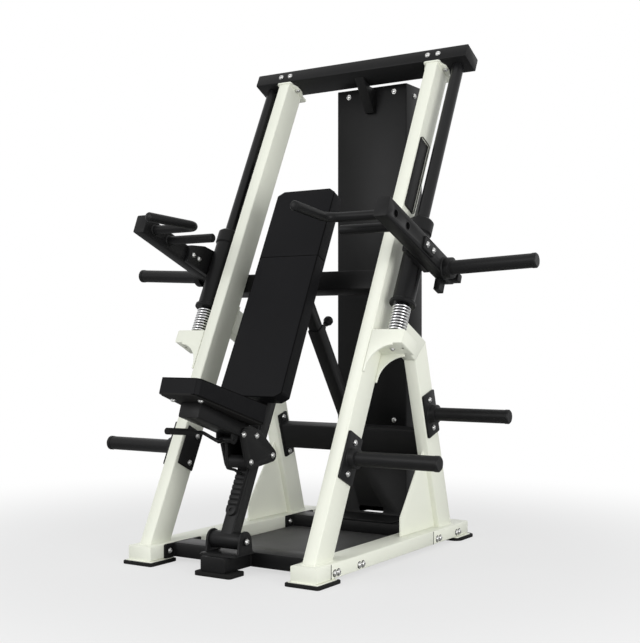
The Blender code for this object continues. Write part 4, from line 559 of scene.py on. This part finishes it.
for hand, side in HANDS:
    for piece in ("upright", "top_strut", "rear_leg", "spring_bracket"):
        coated(f"{hand}_{piece}", CREAM_COAT)
    inner = side * POST_INNER
    outer = side * POST_OUTER
    for end, low, high in (("upright", 0.0254, 0.1367), ("rear_leg", 0.9051, 1.0097)):
        round_foot = [(inner, low), (outer, low), (outer, high), (inner, high), (inner, low)]
        line = [(x, y - ORIGIN_Y, RAIL_TOP + 0.0005) for x, y in round_foot]
        beads(f"{hand}_{end}_foot_weld", line, 0.0032, CREAM_COAT, "frame")
    for edge, x in (("inner", inner), ("outer", outer)):
        line = [(x, 0.1003, 0.878), (x, 0.1003, 0.982)]
        beads(f"{hand}_strut_weld_{edge}", line, 0.0030, CREAM_COAT, "frame", LEANING)
    for edge, s in (("top", 0.833), ("low", 0.7825)):
        line = [(outer, 0.004, s), (outer, 0.096, s)]
        beads(f"{hand}_bracket_weld_{edge}", line, 0.0030, CREAM_COAT, "frame", LEANING)
    fasten(f"{hand}_bracket_screw", LEANING @ facing((side * ROD_X, ROD_Y, 0.7825), (0, 0, -1)), "frame")

    place = LEANING @ Matrix.Translation((side * (POST_OUTER + 0.0001), 0.043, 1.484))
    place @= Matrix.Rotation(side * math.radians(90), 4, "Y")
    layers = (("edge", 0.0, BLACK_COAT), ("border", 0.0025, CREAM_COAT), ("face", 0.0050, BLACK_COAT))
    for i, (layer, inset, finish) in enumerate(layers):
        size = (0.296 - 2 * inset, 0.070 - 2 * inset, 0.0007 + 0.0002 * i)
        bare_plate(f"{hand}_bare_label_{layer}", size, 0.008 - inset, place, finish, "frame")

# Crossbar, cross beams, tower and brace
# The crossbar ties the uprights' tops, bolted to a flared cream plate welded on each. The tower is a folded
# sheet-metal column in two lengths, and a folded channel braces it to the crossbar.


def top_ears(name, place, body):
    """The flared plate welded on a post's top: its ears stand out to both sides for the bolts."""
    half = [(0.024, -0.0052), (0.047, 0.034), (0.047, 0.066), (0.030, 0.106)]
    outline = [(-half[0][0], half[0][1]), *half] + [(-x, y) for x, y in reversed(half[1:])]
    bpy.ops.object.select_all(action="DESELECT")
    bpy.ops.mesh.primitive_circle_add(vertices=len(outline), fill_type="NGON", location=(0, 0, 0))
    ears = bpy.context.object
    ears.name = name
    for point, corner in zip(ears.data.vertices, outline):
        point.co = (*corner, 0.0)
    bpy.ops.object.mode_set(mode="EDIT")
    bpy.ops.mesh.select_all(action="SELECT")
    bpy.ops.mesh.extrude_region_move(TRANSFORM_OT_translate={"value": (0, 0, 0.0063)})
    bpy.ops.mesh.select_all(action="SELECT")
    bpy.ops.mesh.normals_make_consistent(inside=False)
    bpy.ops.object.mode_set(mode="OBJECT")
    rims = ears.modifiers.new("rims", "BEVEL")
    rims.width = 0.0012
    rims.segments = 2
    bpy.ops.object.modifier_apply(modifier="rims")
    fitted(ears, place, CREAM_COAT, body)


TOWER_FRONT = 0.5463
EARS_UNDERSIDE = 1.9655
for node in ("crossbar", "upper_cross_beam", "lower_cross_beam", "crossbar_brace"):
    coated(node, BLACK_COAT)
for node in ("tower_lower_panel", "tower_upper_panel"):
    coated(node, BLACK_COAT, ease=0.0008)
for hand, side in HANDS:
    for i, x in enumerate((0.316, 0.360)):
        place = LEANING @ facing((side * x, -0.0057, 1.9998), (0, -1, 0))
        fasten(f"{hand}_crossbar_screw_{i + 1}", place, "frame")
    top_ears(f"{hand}_top_ears", LEANING @ Matrix.Translation((side * POST_X, 0, EARS_UNDERSIDE)), "frame")
    for i, step in enumerate((-0.0365, 0.0365)):
        place = LEANING @ facing((side * POST_X + step, 0.050, EARS_UNDERSIDE), (0, 0, -1))
        fasten(f"{hand}_top_ear_screw_{i + 1}", place, "frame")
    fasten(f"{hand}_top_flange_screw", LEANING @ facing((side * POST_X, 0.112, 1.966), (0, 0, -1)), "frame")
    for edge, z in (("top", 1.773), ("low", 0.455)):
        place = facing((side * 0.105, TOWER_FRONT, z), (0, -1, 0))
        fasten(f"{hand}_tower_screw_{edge}", place, "frame")
    for i, z in enumerate((0.395, 0.450, 1.760)):
        fasten(f"{hand}_tower_side_screw_{i + 1}", facing((side * 0.1612, 0.616, z), (side, 0, 0)), "frame")
    for i, up in enumerate((1.066, 1.108)):
        place = LEANING @ facing((side * POST_X, 0.1503, up), (0, 1, 0))
        fasten(f"{hand}_upper_beam_screw_{i + 1}", place, "frame")
    inner = side * 0.3047
    for i, up in enumerate((0.268, 0.418)):
        fasten(f"{hand}_lower_beam_screw_{i + 1}", LEGS @ facing((inner, 0, up), (-side, 0, 0)), "frame")
    for edge, up in (("low", 0.2935), ("top", 0.3925)):
        line = [(inner, -0.024, up), (inner, 0.024, up)]
        beads(f"{hand}_lower_beam_weld_{edge}", line, 0.0028, BLACK_COAT, "frame", LEGS)

# Guide rods
# Ground steel bars, blacked and polished, that the carriages slide on. Each stands on its spring bracket and
# ends under the crossbar. They are smoother than the coated tubes and carry faint lengthwise rub lines.


def polished_black():
    """Blacked and ground steel, with fine rub lines along the lean of the rods."""
    dark = (0.006, 0.006, 0.0065)
    material, tree, shader = new_finish("blacked_steel", dark, 0.26, shine=0.22)
    place = add(tree, "TexCoord")
    stretch = add(tree, "Mapping", Rotation=(LEAN, 0, 0), Scale=(900.0, 900.0, 6.0))
    lines = add(tree, "TexNoise", Scale=1.0, Detail=3.0)
    wire(
        tree,
        (place.outputs["Object"], stretch.inputs["Vector"]),
        (stretch.outputs["Vector"], lines.inputs["Vector"]),
    )
    blend_colours(tree, lines.outputs["Fac"], dark, (0.011, 0.011, 0.0115), shader.inputs["Base Color"])
    blend_values(tree, lines.outputs["Fac"], 0.24, 0.36, shader.inputs["Roughness"])
    raise_surface(tree, shader, lines.outputs["Fac"], 0.00003)
    return material


BLACKED = polished_black()
for hand, side in HANDS:
    rod_line = LEANING @ Matrix.Translation((side * ROD_X, ROD_Y, 0))
    stations = [(0.0215, 0.8333), (0.0225, 0.8343), (0.0225, 1.9707), (0.0215, 1.9717)]
    rod = fitted(lathed(f"{hand}_guide_rod_bar", stations, sides=72), rod_line, BLACKED, "frame")
    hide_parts(f"{hand}_guide_rod")

# Springs and their discs
# A chromed coil spring cushions each carriage at the bottom of its travel. It is wound from round wire and
# stands on a turned disc, sprayed cream with its bracket.

CHROME = bright_metal("chrome", (0.82, 0.82, 0.83), (0.07, 0.16), 160.0)
SPRING_R = 0.0297
WIRE_R = 0.0034
SPRING_LOW = 0.8408
SPRING_HIGH = 0.9440
CURLS = 9.5
for hand, side in HANDS:
    rod_line = LEANING @ Matrix.Translation((side * ROD_X, ROD_Y, 0))
    bpy.ops.object.select_all(action="DESELECT")
    bpy.ops.mesh.primitive_circle_add(vertices=16, radius=WIRE_R, fill_type="NGON", location=(0, 0, 0))
    coil = bpy.context.object
    coil.name = f"{hand}_spring_coil"
    bpy.ops.object.mode_set(mode="EDIT")
    bpy.ops.mesh.select_all(action="SELECT")
    bpy.ops.transform.rotate(value=math.radians(90), orient_axis="X", center_override=(0, 0, 0))
    bpy.ops.transform.translate(value=(SPRING_R, 0, SPRING_LOW))
    bpy.ops.mesh.select_all(action="SELECT")
    bpy.ops.mesh.delete(type="ONLY_FACE")
    bpy.ops.object.mode_set(mode="OBJECT")
    winding = coil.modifiers.new("winding", "SCREW")
    winding.angle = math.radians(360 * CURLS)
    winding.screw_offset = SPRING_HIGH - SPRING_LOW
    winding.iterations = 1
    winding.steps = 380
    winding.render_steps = 380
    bpy.ops.object.modifier_apply(modifier="winding")
    bpy.ops.object.mode_set(mode="EDIT")
    bpy.ops.mesh.select_all(action="SELECT")
    bpy.ops.mesh.fill_holes(sides=16)
    bpy.ops.mesh.normals_make_consistent(inside=False)
    bpy.ops.object.mode_set(mode="OBJECT")
    fitted(coil, rod_line, CHROME, "frame", bend=40.0)
    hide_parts(f"{hand}_spring")
    stations = [(0.0370, 0.8333), (0.0375, 0.8338), (0.0375, 0.8358), (0.0365, 0.8368), (0.0340, 0.8368)]
    disc = fitted(lathed(f"{hand}_spring_disc", stations), rod_line, CREAM_COAT, "frame")
    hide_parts(f"{hand}_spring_seat")

# Carriages
# Each is a long black sleeve on its rod, with a bush lip below, a stepped bearing housing on top and an ear
# plate that carries the press arm.

ARM_RISE = math.radians(4.0)
HORN_RISE = math.radians(3.0)
ARM = LEANING @ Matrix.Translation((0, -0.3447, 1.0636)) @ Matrix.Rotation(ARM_RISE, 4, "X")
EAR_FACE = 0.4635
ARM_INNER = 0.4830
ARM_OUTER = 0.5330
ARM_MIDDLE = 0.035
BORE_R = 0.0132


def open_mouth(handle, along):
    """Opens the bore of a handle wider where its tube ends in the arm's outer side."""
    for point in handle.data.vertices:
        inside = ARM.inverted() @ point.co
        spread = Vector((inside.y - along, inside.z - ARM_MIDDLE))
        if abs(inside.x) > ARM_INNER + 0.007 and 0.001 < spread.length < 0.015:
            spread *= BORE_R / spread.length
            point.co = ARM @ Vector((inside.x, along + spread.x, ARM_MIDDLE + spread.y))


def cap_rim(horn, tip, outward, body):
    """The rim of the cap pressed into a horn's tip, a hair wider than its tube."""
    stations = [(0.0250, -0.0165), (0.0261, -0.0160), (0.0261, -0.0042), (0.0250, -0.0036)]
    rim = lathed(f"{horn}_cap_rim", stations, sides=48)
    fitted(rim, facing(tip, outward), BLACK_COAT, body)


for hand, side in HANDS:
    carriage = f"{hand}_carriage"
    coated(f"{hand}_sleeve", BLACK_COAT, bend=50.0)
    coated(f"{hand}_press_arm", BLACK_COAT)
    coated(f"{hand}_loading_horn", BLACK_COAT, bend=50.0)
    for i, (back, up) in enumerate(((-0.072, 1.120), (-0.037, 1.122))):
        place = LEANING @ facing((side * EAR_FACE, back, up), (-side, 0, 0))
        fasten(f"{hand}_ear_screw_{i + 1}", place, carriage)
    place = ARM @ Matrix.Translation((side * (ARM_OUTER + 0.0001), 0.299, ARM_MIDDLE))
    place @= Matrix.Rotation(side * math.radians(90), 4, "Y")
    bare_plate(f"{hand}_arm_plate", (0.048, 0.078, 0.006), 0.006, place, BLACK_COAT, carriage)
    for i, along in enumerate((0.283, 0.331)):
        place = ARM @ facing((side * (ARM_OUTER + 0.0061), along, ARM_MIDDLE + 0.001), (side, 0, 0))
        fasten(f"{hand}_arm_screw_{i + 1}", place, carriage)
    for end, along in (("front", 0.055), ("rear", 0.143)):
        place = ARM @ facing((side * ARM_INNER, along, ARM_MIDDLE), (-side, 0, 0))
        fillet(f"{hand}_{end}_handle_weld", place, 0.0165, 0.0040, BLACK_COAT, carriage)
        open_mouth(coated(f"{hand}_{end}_handle", BLACK_COAT, ease=0, bend=50.0), along)
    place = ARM @ facing((side * (ARM_OUTER + 0.0003), 0.448, 0.025), (side, 0, 0))
    fillet(f"{hand}_loading_horn_weld", place, 0.0372, 0.0035, BLACK_COAT, carriage)
    along_horn = LEANING.to_3x3() @ Vector((side * math.cos(HORN_RISE), 0, math.sin(HORN_RISE)))
    cap_rim(f"{hand}_loading_horn", place.translation + 0.336 * along_horn, along_horn, carriage)

# Storage horns
# Four plate horns: steel tube with a turned collar, welded to a plate that is bolted along its post.
# A pressed-in cap closes each tip. The front pair have a second plate on the inner side of their posts.

HORN_PLATE = 0.3713
FRONT_HORN_UP = 0.382
for hand, side in HANDS:
    for end, post, middle, up in (("front", LEANING, 0.050, FRONT_HORN_UP), ("rear", LEGS, 0.0, 0.455)):
        coated(f"{hand}_{end}_horn", BLACK_COAT, bend=50.0)
        for i, step in enumerate((-0.055, 0.055)):
            place = post @ facing((side * HORN_PLATE, middle, up + step), (side, 0, 0))
            fasten(f"{hand}_{end}_horn_screw_{i + 1}", place, "frame")
        place = post @ facing((side * HORN_PLATE, middle, up), (side, 0, 0))
        fillet(f"{hand}_{end}_horn_weld", place, 0.0348, 0.0035, BLACK_COAT, "frame")
        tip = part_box(f"{hand}_{end}_horn")[1 if side > 0 else 0][0]
        cap_rim(f"{hand}_{end}_horn", (tip, *place.translation.yz), (side, 0, 0), "frame")
    place = LEANING @ Matrix.Translation((side * (POST_INNER - 0.0002), 0.055, FRONT_HORN_UP))
    place @= Matrix.Rotation(side * math.radians(-90), 4, "Y")
    name = f"{hand}_backing_plate"
    bare_plate(name, (0.146, 0.088, 0.006), 0.004, place, BLACK_COAT, "frame")
    for i, up in enumerate((0.332, 0.434)):
        place = LEANING @ facing((side * (POST_INNER - 0.0062), 0.069, up), (-side, 0, 0))
        fasten(f"{name}_screw_{i + 1}", place, "frame")

# Bench, strut and seat carriage
# The bench is a box-tube spine with a notched rack, hinged in the clevis and propped by a telescoping strut.
# The seat's folded frame runs on it between two nylon rollers, and a sprung lever drops its pawl in a notch.

for node in ("bench_spine", "strut_outer", "strut_inner", "seat_frame"):
    coated(node, BLACK_COAT)
SIDE_PLATE = 0.048
NYLON = moulded("black_nylon", (0.010, 0.010, 0.0105), (0.015, 0.015, 0.0155), (0.42, 0.55), 1100.0, 0.00006)
for end, radius in (("front", 0.0220), ("rear", 0.0255)):
    low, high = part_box(f"{end}_guide_bush")
    middle = (Vector(low) + Vector(high)) / 2
    stations = [(radius - 0.002, -0.0382), (radius, -0.0362), (radius, 0.0362), (radius - 0.002, 0.0382)]
    roller = lathed(f"{end}_guide_roller", stations, sides=48)
    fitted(roller, facing(middle, (1, 0, 0)), NYLON, "seat")
    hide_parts(f"{end}_guide_bush")
    for hand, side in HANDS:
        place = facing((side * SIDE_PLATE, middle.y, middle.z), (side, 0, 0))
        fasten(f"{end}_roller_{hand}_bolt", place, "seat")
coated("pull_pin", NYLON, ease=0.0006, bend=50.0)
coated("release_lever", BLACK_COAT, ease=0.0005, bend=60.0)
coated("lever_grip", RUBBER, ease=0, bend=50.0)
coated("pivot_bolt", BLACKED, ease=0.0006, bend=50.0)
low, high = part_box("pivot_bolt")
middle = (Vector(low) + Vector(high)) / 2
for hand, x, side in (("left", low[0], -1), ("right", high[0], 1)):
    fasten(f"pivot_{hand}_screw", facing((x, middle.y, middle.z), (side, 0, 0)), "frame")
BOARD = moulded("black_board", (0.008, 0.0078, 0.0075), (0.014, 0.0135, 0.013), (0.60, 0.80), 300.0, 0.0001)
for node in ("backrest_board", "seat_board"):
    coated(node, BOARD)

SEATED = Matrix.Translation((0, -0.213 - ORIGIN_Y, 0.603)) @ Matrix.Rotation(math.radians(-18.5), 4, "X")
for hand, side in HANDS:
    for i, (up, back) in enumerate(((0.380, -0.124), (0.404, -0.053))):
        place = LEANING @ facing((side * SIDE_PLATE, back, up), (side, 0, 0))
        fasten(f"seat_plate_{hand}_screw_{i + 1}", place, "seat")
    fasten(f"seat_board_{hand}_screw", SEATED @ facing((side * 0.056, 0.058, 0), (0, 0, -1)), "seat")

# Cushions
# Foam on a board under black leatherette, cut as a flat face panel sewn to a strip that runs round the sides.
# The thread draws the cover in along every seam, and each seam carries painted shade: a dark line in the
# cover's colour. A thin cord of a darker, duller black than the cover is sewn round the face, and one crosses
# the backrest;
# its dark colour is painted shade along those seams.


def leatherette():
    """A pebbled cover with a soft sheen, small creases, and painted shade: a dark line where the panels meet,
    for the shadow in each seam.
    """
    material, tree, shader = new_finish("black_leatherette", (0.005, 0.005, 0.0058), 0.5, shine=0.07)
    place = add(tree, "TexCoord")
    pebbles = add(tree, "TexVoronoi", Scale=720.0)
    pebbles.feature = "SMOOTH_F1"
    creases = add(tree, "TexNoise", Scale=34.0, Detail=5.0, Distortion=0.6)
    rub = add(tree, "TexNoise", Scale=7.0, Detail=5.0)
    painted_seam_shade = add(tree, "Attribute")
    painted_seam_shade.attribute_name = "seam_distance"
    line = add(tree, "MapRange", From_Min=2.4, From_Max=0.8)
    wire(
        tree,
        (place.outputs["Object"], pebbles.inputs["Vector"]),
        (place.outputs["Object"], creases.inputs["Vector"]),
        (place.outputs["Object"], rub.inputs["Vector"]),
        (painted_seam_shade.outputs["Fac"], line.inputs["Value"]),
    )
    base = blend_colours(tree, rub.outputs["Fac"], (0.0042, 0.0042, 0.0050), (0.0068, 0.0068, 0.0076), None)
    # Painted shade: the cover is darkened to near black close to each seam, standing for the shadow down in
    # the seam.
    blend_colours(tree, line.outputs["Result"], base, (0.0015, 0.0015, 0.0015), shader.inputs["Base Color"])
    blend_values(tree, rub.outputs["Fac"], 0.40, 0.58, shader.inputs["Roughness"])
    soft = raise_surface(tree, shader, creases.outputs["Fac"], 0.0010, 0.5)
    raise_surface(tree, shader, pebbles.outputs["Distance"], 0.00022, 1.0, onto=soft)
    return material


LEATHER = leatherette()
# Painted shade: this near-black, barely glossy cord finish stands for the shadow in the cushions' seams.
SEAM_SHADE_CORD = moulded(
    "seam_shade_cord", (0.0015, 0.0015, 0.0015), (0.0030, 0.0030, 0.0030), (0.75, 0.90), 900.0, 0.00005,
    shine=0.03,
)
MOST_SWELL = 0.006
DRAW = 0.0018
SUNK = 0.0009


def shade_cord(name, points, closed, place, body):
    """A thin cord sewn into a seam, a darker and duller black than the cover: painted shade that reads as the
    seam's shadow line round the panels.
    """
    path = bpy.data.curves.new(name, "CURVE")
    path.dimensions = "3D"
    path.bevel_depth = 0.0013
    path.bevel_resolution = 2
    path.use_fill_caps = True
    line = path.splines.new("POLY")
    line.points.add(len(points) - 1)
    for station, point in zip(line.points, points):
        station.co = (*point, 1.0)
    line.use_cyclic_u = closed
    cord = bpy.data.objects.new(name, path)
    bpy.context.scene.collection.objects.link(cord)
    alone(cord)
    bpy.ops.object.convert(target="MESH")
    fitted(bpy.context.object, place, SEAM_SHADE_CORD, body, bend=80.0)


def foam_block(name, length, half, depth, corner):
    """A block of foam with its four upright corners cut off."""
    bpy.ops.object.select_all(action="DESELECT")
    bpy.ops.mesh.primitive_cube_add(size=1, location=(0, 0, 0))
    pad = bpy.context.object
    pad.name = name
    bpy.ops.object.mode_set(mode="EDIT")
    bpy.ops.mesh.select_all(action="SELECT")
    bpy.ops.transform.resize(value=(2 * half, length, depth))
    bpy.ops.transform.translate(value=(0, length / 2, depth / 2))
    for x in (-1, 1):
        for y in (0, 1):
            bpy.ops.mesh.select_all(action="SELECT")
            cut = (x * (half - corner[0]), y * length, 0)
            outward = (x * corner[1], (2 * y - 1) * corner[0], 0)
            bpy.ops.mesh.bisect(plane_co=cut, plane_no=outward, use_fill=True, clear_outer=True)
    bpy.ops.object.mode_set(mode="OBJECT")
    return pad


def chalk_lines(low, high, cut, marked, cell):
    """Where the cover is divided along one side: finely over the cut corners, evenly between them."""
    inner = [low + cut, *marked, high - cut]
    lines = [low + cut * k / 4 for k in (1, 2, 3)] + [high - cut * k / 4 for k in (1, 2, 3)] + inner
    for start, end in zip(inner, inner[1:]):
        parts = max(1, round((end - start) / cell))
        lines += [start + (end - start) * k / parts for k in range(1, parts)]
    return sorted(lines)


def swell(pad):
    """Lets the foam press the cover out between the points that are sewn."""
    cloth = pad.modifiers.new("cover", "CLOTH")
    cloth.settings.vertex_group_mass = "sewn"
    cloth.settings.use_pressure = True
    cloth.settings.uniform_pressure_force = 4.0
    cloth.settings.effector_weights.gravity = 0.0
    cloth.settings.tension_stiffness = 15.0
    cloth.settings.compression_stiffness = 15.0
    cloth.point_cache.frame_start = 1
    cloth.point_cache.frame_end = 20
    for step in range(1, 21):
        bpy.context.scene.frame_set(step)
    alone(pad)
    bpy.ops.object.modifier_apply(modifier="cover")
    bpy.context.scene.frame_set(1)


def even_out(moves, edges, still):
    """Evens how far each free point of the cover moved with how far its neighbours did."""
    ties = [[] for _ in moves]
    for edge in edges:
        a, b = edge.vertices
        ties[a].append(b)
        ties[b].append(a)
    for _ in range(10):
        evened = []
        for i, move in enumerate(moves):
            if still[i]:
                evened.append(move)
            else:
                pull = sum((moves[other] for other in ties[i]), Vector()) / len(ties[i])
                evened.append(move.lerp(pull, 0.6))
        moves = evened
    return moves


def upholstered(name, length, halves, thicknesses, corner, seam, cell, place, body, node):
    """A boxed cushion: y runs along it and z up from its flat back. It is sewn from panels, so its seams hold
    their line while the foam swells the cover between them."""
    half, depth = halves[0], thicknesses[0]
    pad = foam_block(name, length, half, depth, corner)
    rows = max(3, round(depth / cell))
    cuts = [(2, depth * k / rows) for k in range(1, rows)]
    cuts += [(0, x) for x in chalk_lines(-half, half, corner[0], [0.0], cell)]
    cuts += [(1, y) for y in chalk_lines(0.0, length, corner[1], [] if seam is None else [seam], cell)]
    bpy.ops.object.mode_set(mode="EDIT")
    for axis, at in cuts:
        bpy.ops.mesh.select_all(action="SELECT")
        across = tuple(1.0 if i == axis else 0.0 for i in range(3))
        bpy.ops.mesh.bisect(plane_co=tuple(at * step for step in across), plane_no=across)
    bpy.ops.object.mode_set(mode="OBJECT")

    def seam_gap(point):
        """How far a point of the cover is from the nearest thread, in millimetres."""
        x, y = abs(point.x), length / 2 - abs(point.y - length / 2)
        slant = ((half - x) * corner[1] + y * corner[0] - corner[0] * corner[1]) / math.hypot(*corner)
        rim = max(0.0, min(half - x, y, slant))
        gap = min(math.hypot(rim, depth - point.z), math.hypot(rim, point.z))
        if seam is not None and point.z > 0.001:
            gap = min(gap, abs(point.y - seam))
        return gap * 1000

    gaps = [seam_gap(point.co) for point in pad.data.vertices]
    for point in pad.data.vertices:
        along = point.co.y / length
        point.co.x *= 1 + (halves[1] / halves[0] - 1) * along
        point.co.z *= 1 + (thicknesses[1] / thicknesses[0] - 1) * along
    before = [point.co.copy() for point in pad.data.vertices]
    held = pad.vertex_groups.new(name="sewn")
    still = [gap < 0.05 or start.z < 0.0005 for gap, start in zip(gaps, before)]
    held.add([i for i, fast in enumerate(still) if fast], 1.0, "REPLACE")
    sewn = pad.data.attributes.new("seam_distance", "FLOAT", "POINT")
    sewn.data.foreach_set("value", gaps)
    swell(pad)
    moves = [point.co - start for point, start in zip(pad.data.vertices, before)]
    moves = [move * min(1.0, MOST_SWELL / max(move.length, 0.000001)) for move in moves]
    moves = even_out(moves, pad.data.edges, still)
    for point, start, move in zip(pad.data.vertices, before, moves):
        draw = math.sin(math.pi * min(max(start.y / length, 0), 1)) * DRAW
        point.co = start + move - Vector((draw * start.x / half, 0, 0))
    for edge in pad.data.edges:
        edge.select = all(gaps[i] < 0.05 for i in edge.vertices)
    bpy.ops.object.mode_set(mode="EDIT")
    bpy.ops.mesh.select_mode(type="EDGE")
    bpy.ops.transform.edge_crease(value=0.75)
    bpy.ops.mesh.select_mode(type="VERT")
    bpy.ops.object.mode_set(mode="OBJECT")
    finer = pad.modifiers.new("finer", "SUBSURF")
    finer.levels = 1
    finer.render_levels = 1
    bpy.ops.object.modifier_apply(modifier="finer")
    gaps = [mark.value for mark in pad.data.attributes["seam_distance"].data]
    inward = [-point.normal for point in pad.data.vertices]
    for point, gap, way in zip(pad.data.vertices, gaps, inward):
        if point.co.z > 0.002:
            point.co += way * 0.0013 * math.exp(-((gap / 1.6) ** 2))
    pad.vertex_groups.clear()

    def on_rim(side, y):
        """A point of the face's rim, sunk a little in the seam."""
        share = y / length
        spread = 1 + (halves[1] / halves[0] - 1) * share
        reach = half - max(0.0, corner[0] * (1 - min(y, length - y) / corner[1]))
        reach = reach * (1 - math.sin(math.pi * share) * DRAW / half) * spread - SUNK
        height = thicknesses[0] * (1 - share) + thicknesses[1] * share - SUNK
        return side * reach, max(SUNK, min(length - SUNK, y)), height

    inner = length - 2 * corner[1]
    flanks = [0.0] + [corner[1] + inner * k / 14 for k in range(15)] + [length]
    loop = [on_rim(1, y) for y in flanks] + [on_rim(-1, y) for y in reversed(flanks)]
    # Painted shade: dark cords round the face's rim and across the backrest's seam.
    shade_cord(f"{name}_welt", loop, True, place, body)
    if seam is not None:
        left, right = on_rim(-1, seam), on_rim(1, seam)
        across = [(left[0], seam, 0.004), left, right, (right[0], seam, 0.004)]
        shade_cord(f"{name}_cross_welt", across, False, place, body)
    fitted(pad, place, LEATHER, body, bend=80.0)
    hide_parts(node)


FLAT_BACK = Matrix(((1, 0, 0, 0), (0, 0, -1, 0), (0, 1, 0, 0), (0, 0, 0, 1)))
upholstered(
    "backrest_pad",
    length=0.831,
    halves=(0.1305, 0.1250),
    thicknesses=(0.0545, 0.0545),
    corner=(0.026, 0.017),
    seam=0.551,
    cell=0.0065,
    place=LEANING @ Matrix.Translation((0, -0.039, 0.531)) @ FLAT_BACK,
    body="bench",
    node="backrest_cushion",
)
upholstered(
    "seat_pad",
    length=0.365,
    halves=(0.079, 0.102),
    thicknesses=(0.0522, 0.0650),
    corner=(0.009, 0.014),
    seam=None,
    cell=0.0055,
    place=SEATED @ Matrix.Translation((0, 0, 0.0055)),
    body="seat",
    node="seat_cushion",
)

# Camera
# It stands about 3.7 m away, to the front and right of the machine, at the height of the bench's middle.
# It looks level, so the posts stay upright, and its frame is shifted up a little to hold the crossbar.

lens = bpy.data.cameras.new("photo_view")
lens.sensor_fit = "HORIZONTAL"
lens.sensor_width = 36.0
lens.lens = 62.66
lens.shift_x = 0.0
lens.shift_y = 0.0299
lens.clip_start = 0.05
lens.clip_end = 60.0
camera = bpy.data.objects.new("photo_view", lens)
bpy.context.scene.collection.objects.link(camera)
camera.location = (2.2459, -2.9149 - ORIGIN_Y, 0.7736)
camera.rotation_euler = (math.radians(90), 0, math.radians(32.355))
bpy.context.scene.camera = camera

# Floor and light
# A pale studio floor that keeps the machine's soft shadow and fades into a white backdrop.
# Three large soft lamps stand to the left, to the right and overhead.

bpy.ops.object.select_all(action="DESELECT")
bpy.ops.mesh.primitive_plane_add(size=60, location=(0, 0, 0))
floor = bpy.context.object
floor.name = "studio_floor"
floor_finish, tree, shader = new_finish("studio_floor", (0.50, 0.50, 0.50), 0.7, shine=0.1)
place = add(tree, "TexCoord")
reach = add(tree, "VectorMath")
reach.operation = "LENGTH"
fade = add(tree, "MapRange", From_Min=0.9, From_Max=2.6, To_Min=0.64, To_Max=1.0)
fade.interpolation_type = "SMOOTHSTEP"
path = add(tree, "LightPath")
seen = add(tree, "Math")
seen.operation = "MAXIMUM"
share = add(tree, "Math")
share.operation = "MULTIPLY"
glow = add(tree, "Emission", Color=(1.0, 1.0, 1.0, 1.0))
both = add(tree, "MixShader")
wire(
    tree,
    (place.outputs["Object"], reach.inputs[0]),
    (reach.outputs["Value"], fade.inputs["Value"]),
    (path.outputs["Is Camera Ray"], seen.inputs[0]),
    (path.outputs["Is Transmission Ray"], seen.inputs[1]),
    (fade.outputs["Result"], share.inputs[0]),
    (seen.outputs["Value"], share.inputs[1]),
    (share.outputs["Value"], both.inputs["Fac"]),
    (shader.outputs["BSDF"], both.inputs[1]),
    (glow.outputs["Emission"], both.inputs[2]),
    (both.outputs["Shader"], tree.nodes["Material Output"].inputs["Surface"]),
)
floor.data.materials.append(floor_finish)

world = bpy.data.worlds.new("studio")
bpy.context.scene.world = world
world.use_nodes = True
tree = world.node_tree
room = tree.nodes["Background"]
set_inputs(room, Color=(0.86, 0.87, 0.88, 1.0), Strength=0.74)
backdrop = add(tree, "Background", Color=(1.0, 1.0, 1.0, 1.0))
path = add(tree, "LightPath")
seen = add(tree, "Math")
seen.operation = "MAXIMUM"
seen_through = add(tree, "Math")
seen_through.operation = "MAXIMUM"
both = add(tree, "MixShader")
wire(
    tree,
    (path.outputs["Is Camera Ray"], seen.inputs[0]),
    (path.outputs["Is Glossy Ray"], seen.inputs[1]),
    (seen.outputs["Value"], seen_through.inputs[0]),
    (path.outputs["Is Transmission Ray"], seen_through.inputs[1]),
    (seen_through.outputs["Value"], both.inputs["Fac"]),
    (room.outputs["Background"], both.inputs[1]),
    (backdrop.outputs["Background"], both.inputs[2]),
    (both.outputs["Shader"], tree.nodes["World Output"].inputs["Surface"]),
)


def softbox(name, place, aim, size, power):
    """A large soft lamp that looks at a point."""
    lamp = bpy.data.lights.new(name, "AREA")
    lamp.shape = "RECTANGLE"
    lamp.size, lamp.size_y = size
    lamp.energy = power
    box = bpy.data.objects.new(name, lamp)
    bpy.context.scene.collection.objects.link(box)
    box.location = place
    box.rotation_euler = (Vector(aim) - Vector(place)).to_track_quat("-Z", "Y").to_euler()


softbox("key", (-1.6, -4.2, 2.5), (0, 0, 0.7), (2.4, 2.4), 84)
softbox("fill", (4.4, -1.9, 1.1), (0, 0, 0.5), (2.4, 2.4), 112)
softbox("top", (0.4, 0.6, 4.4), (0, 0.1, 0.9), (3.0, 3.0), 16)

bpy.context.scene.view_settings.view_transform = "Standard"
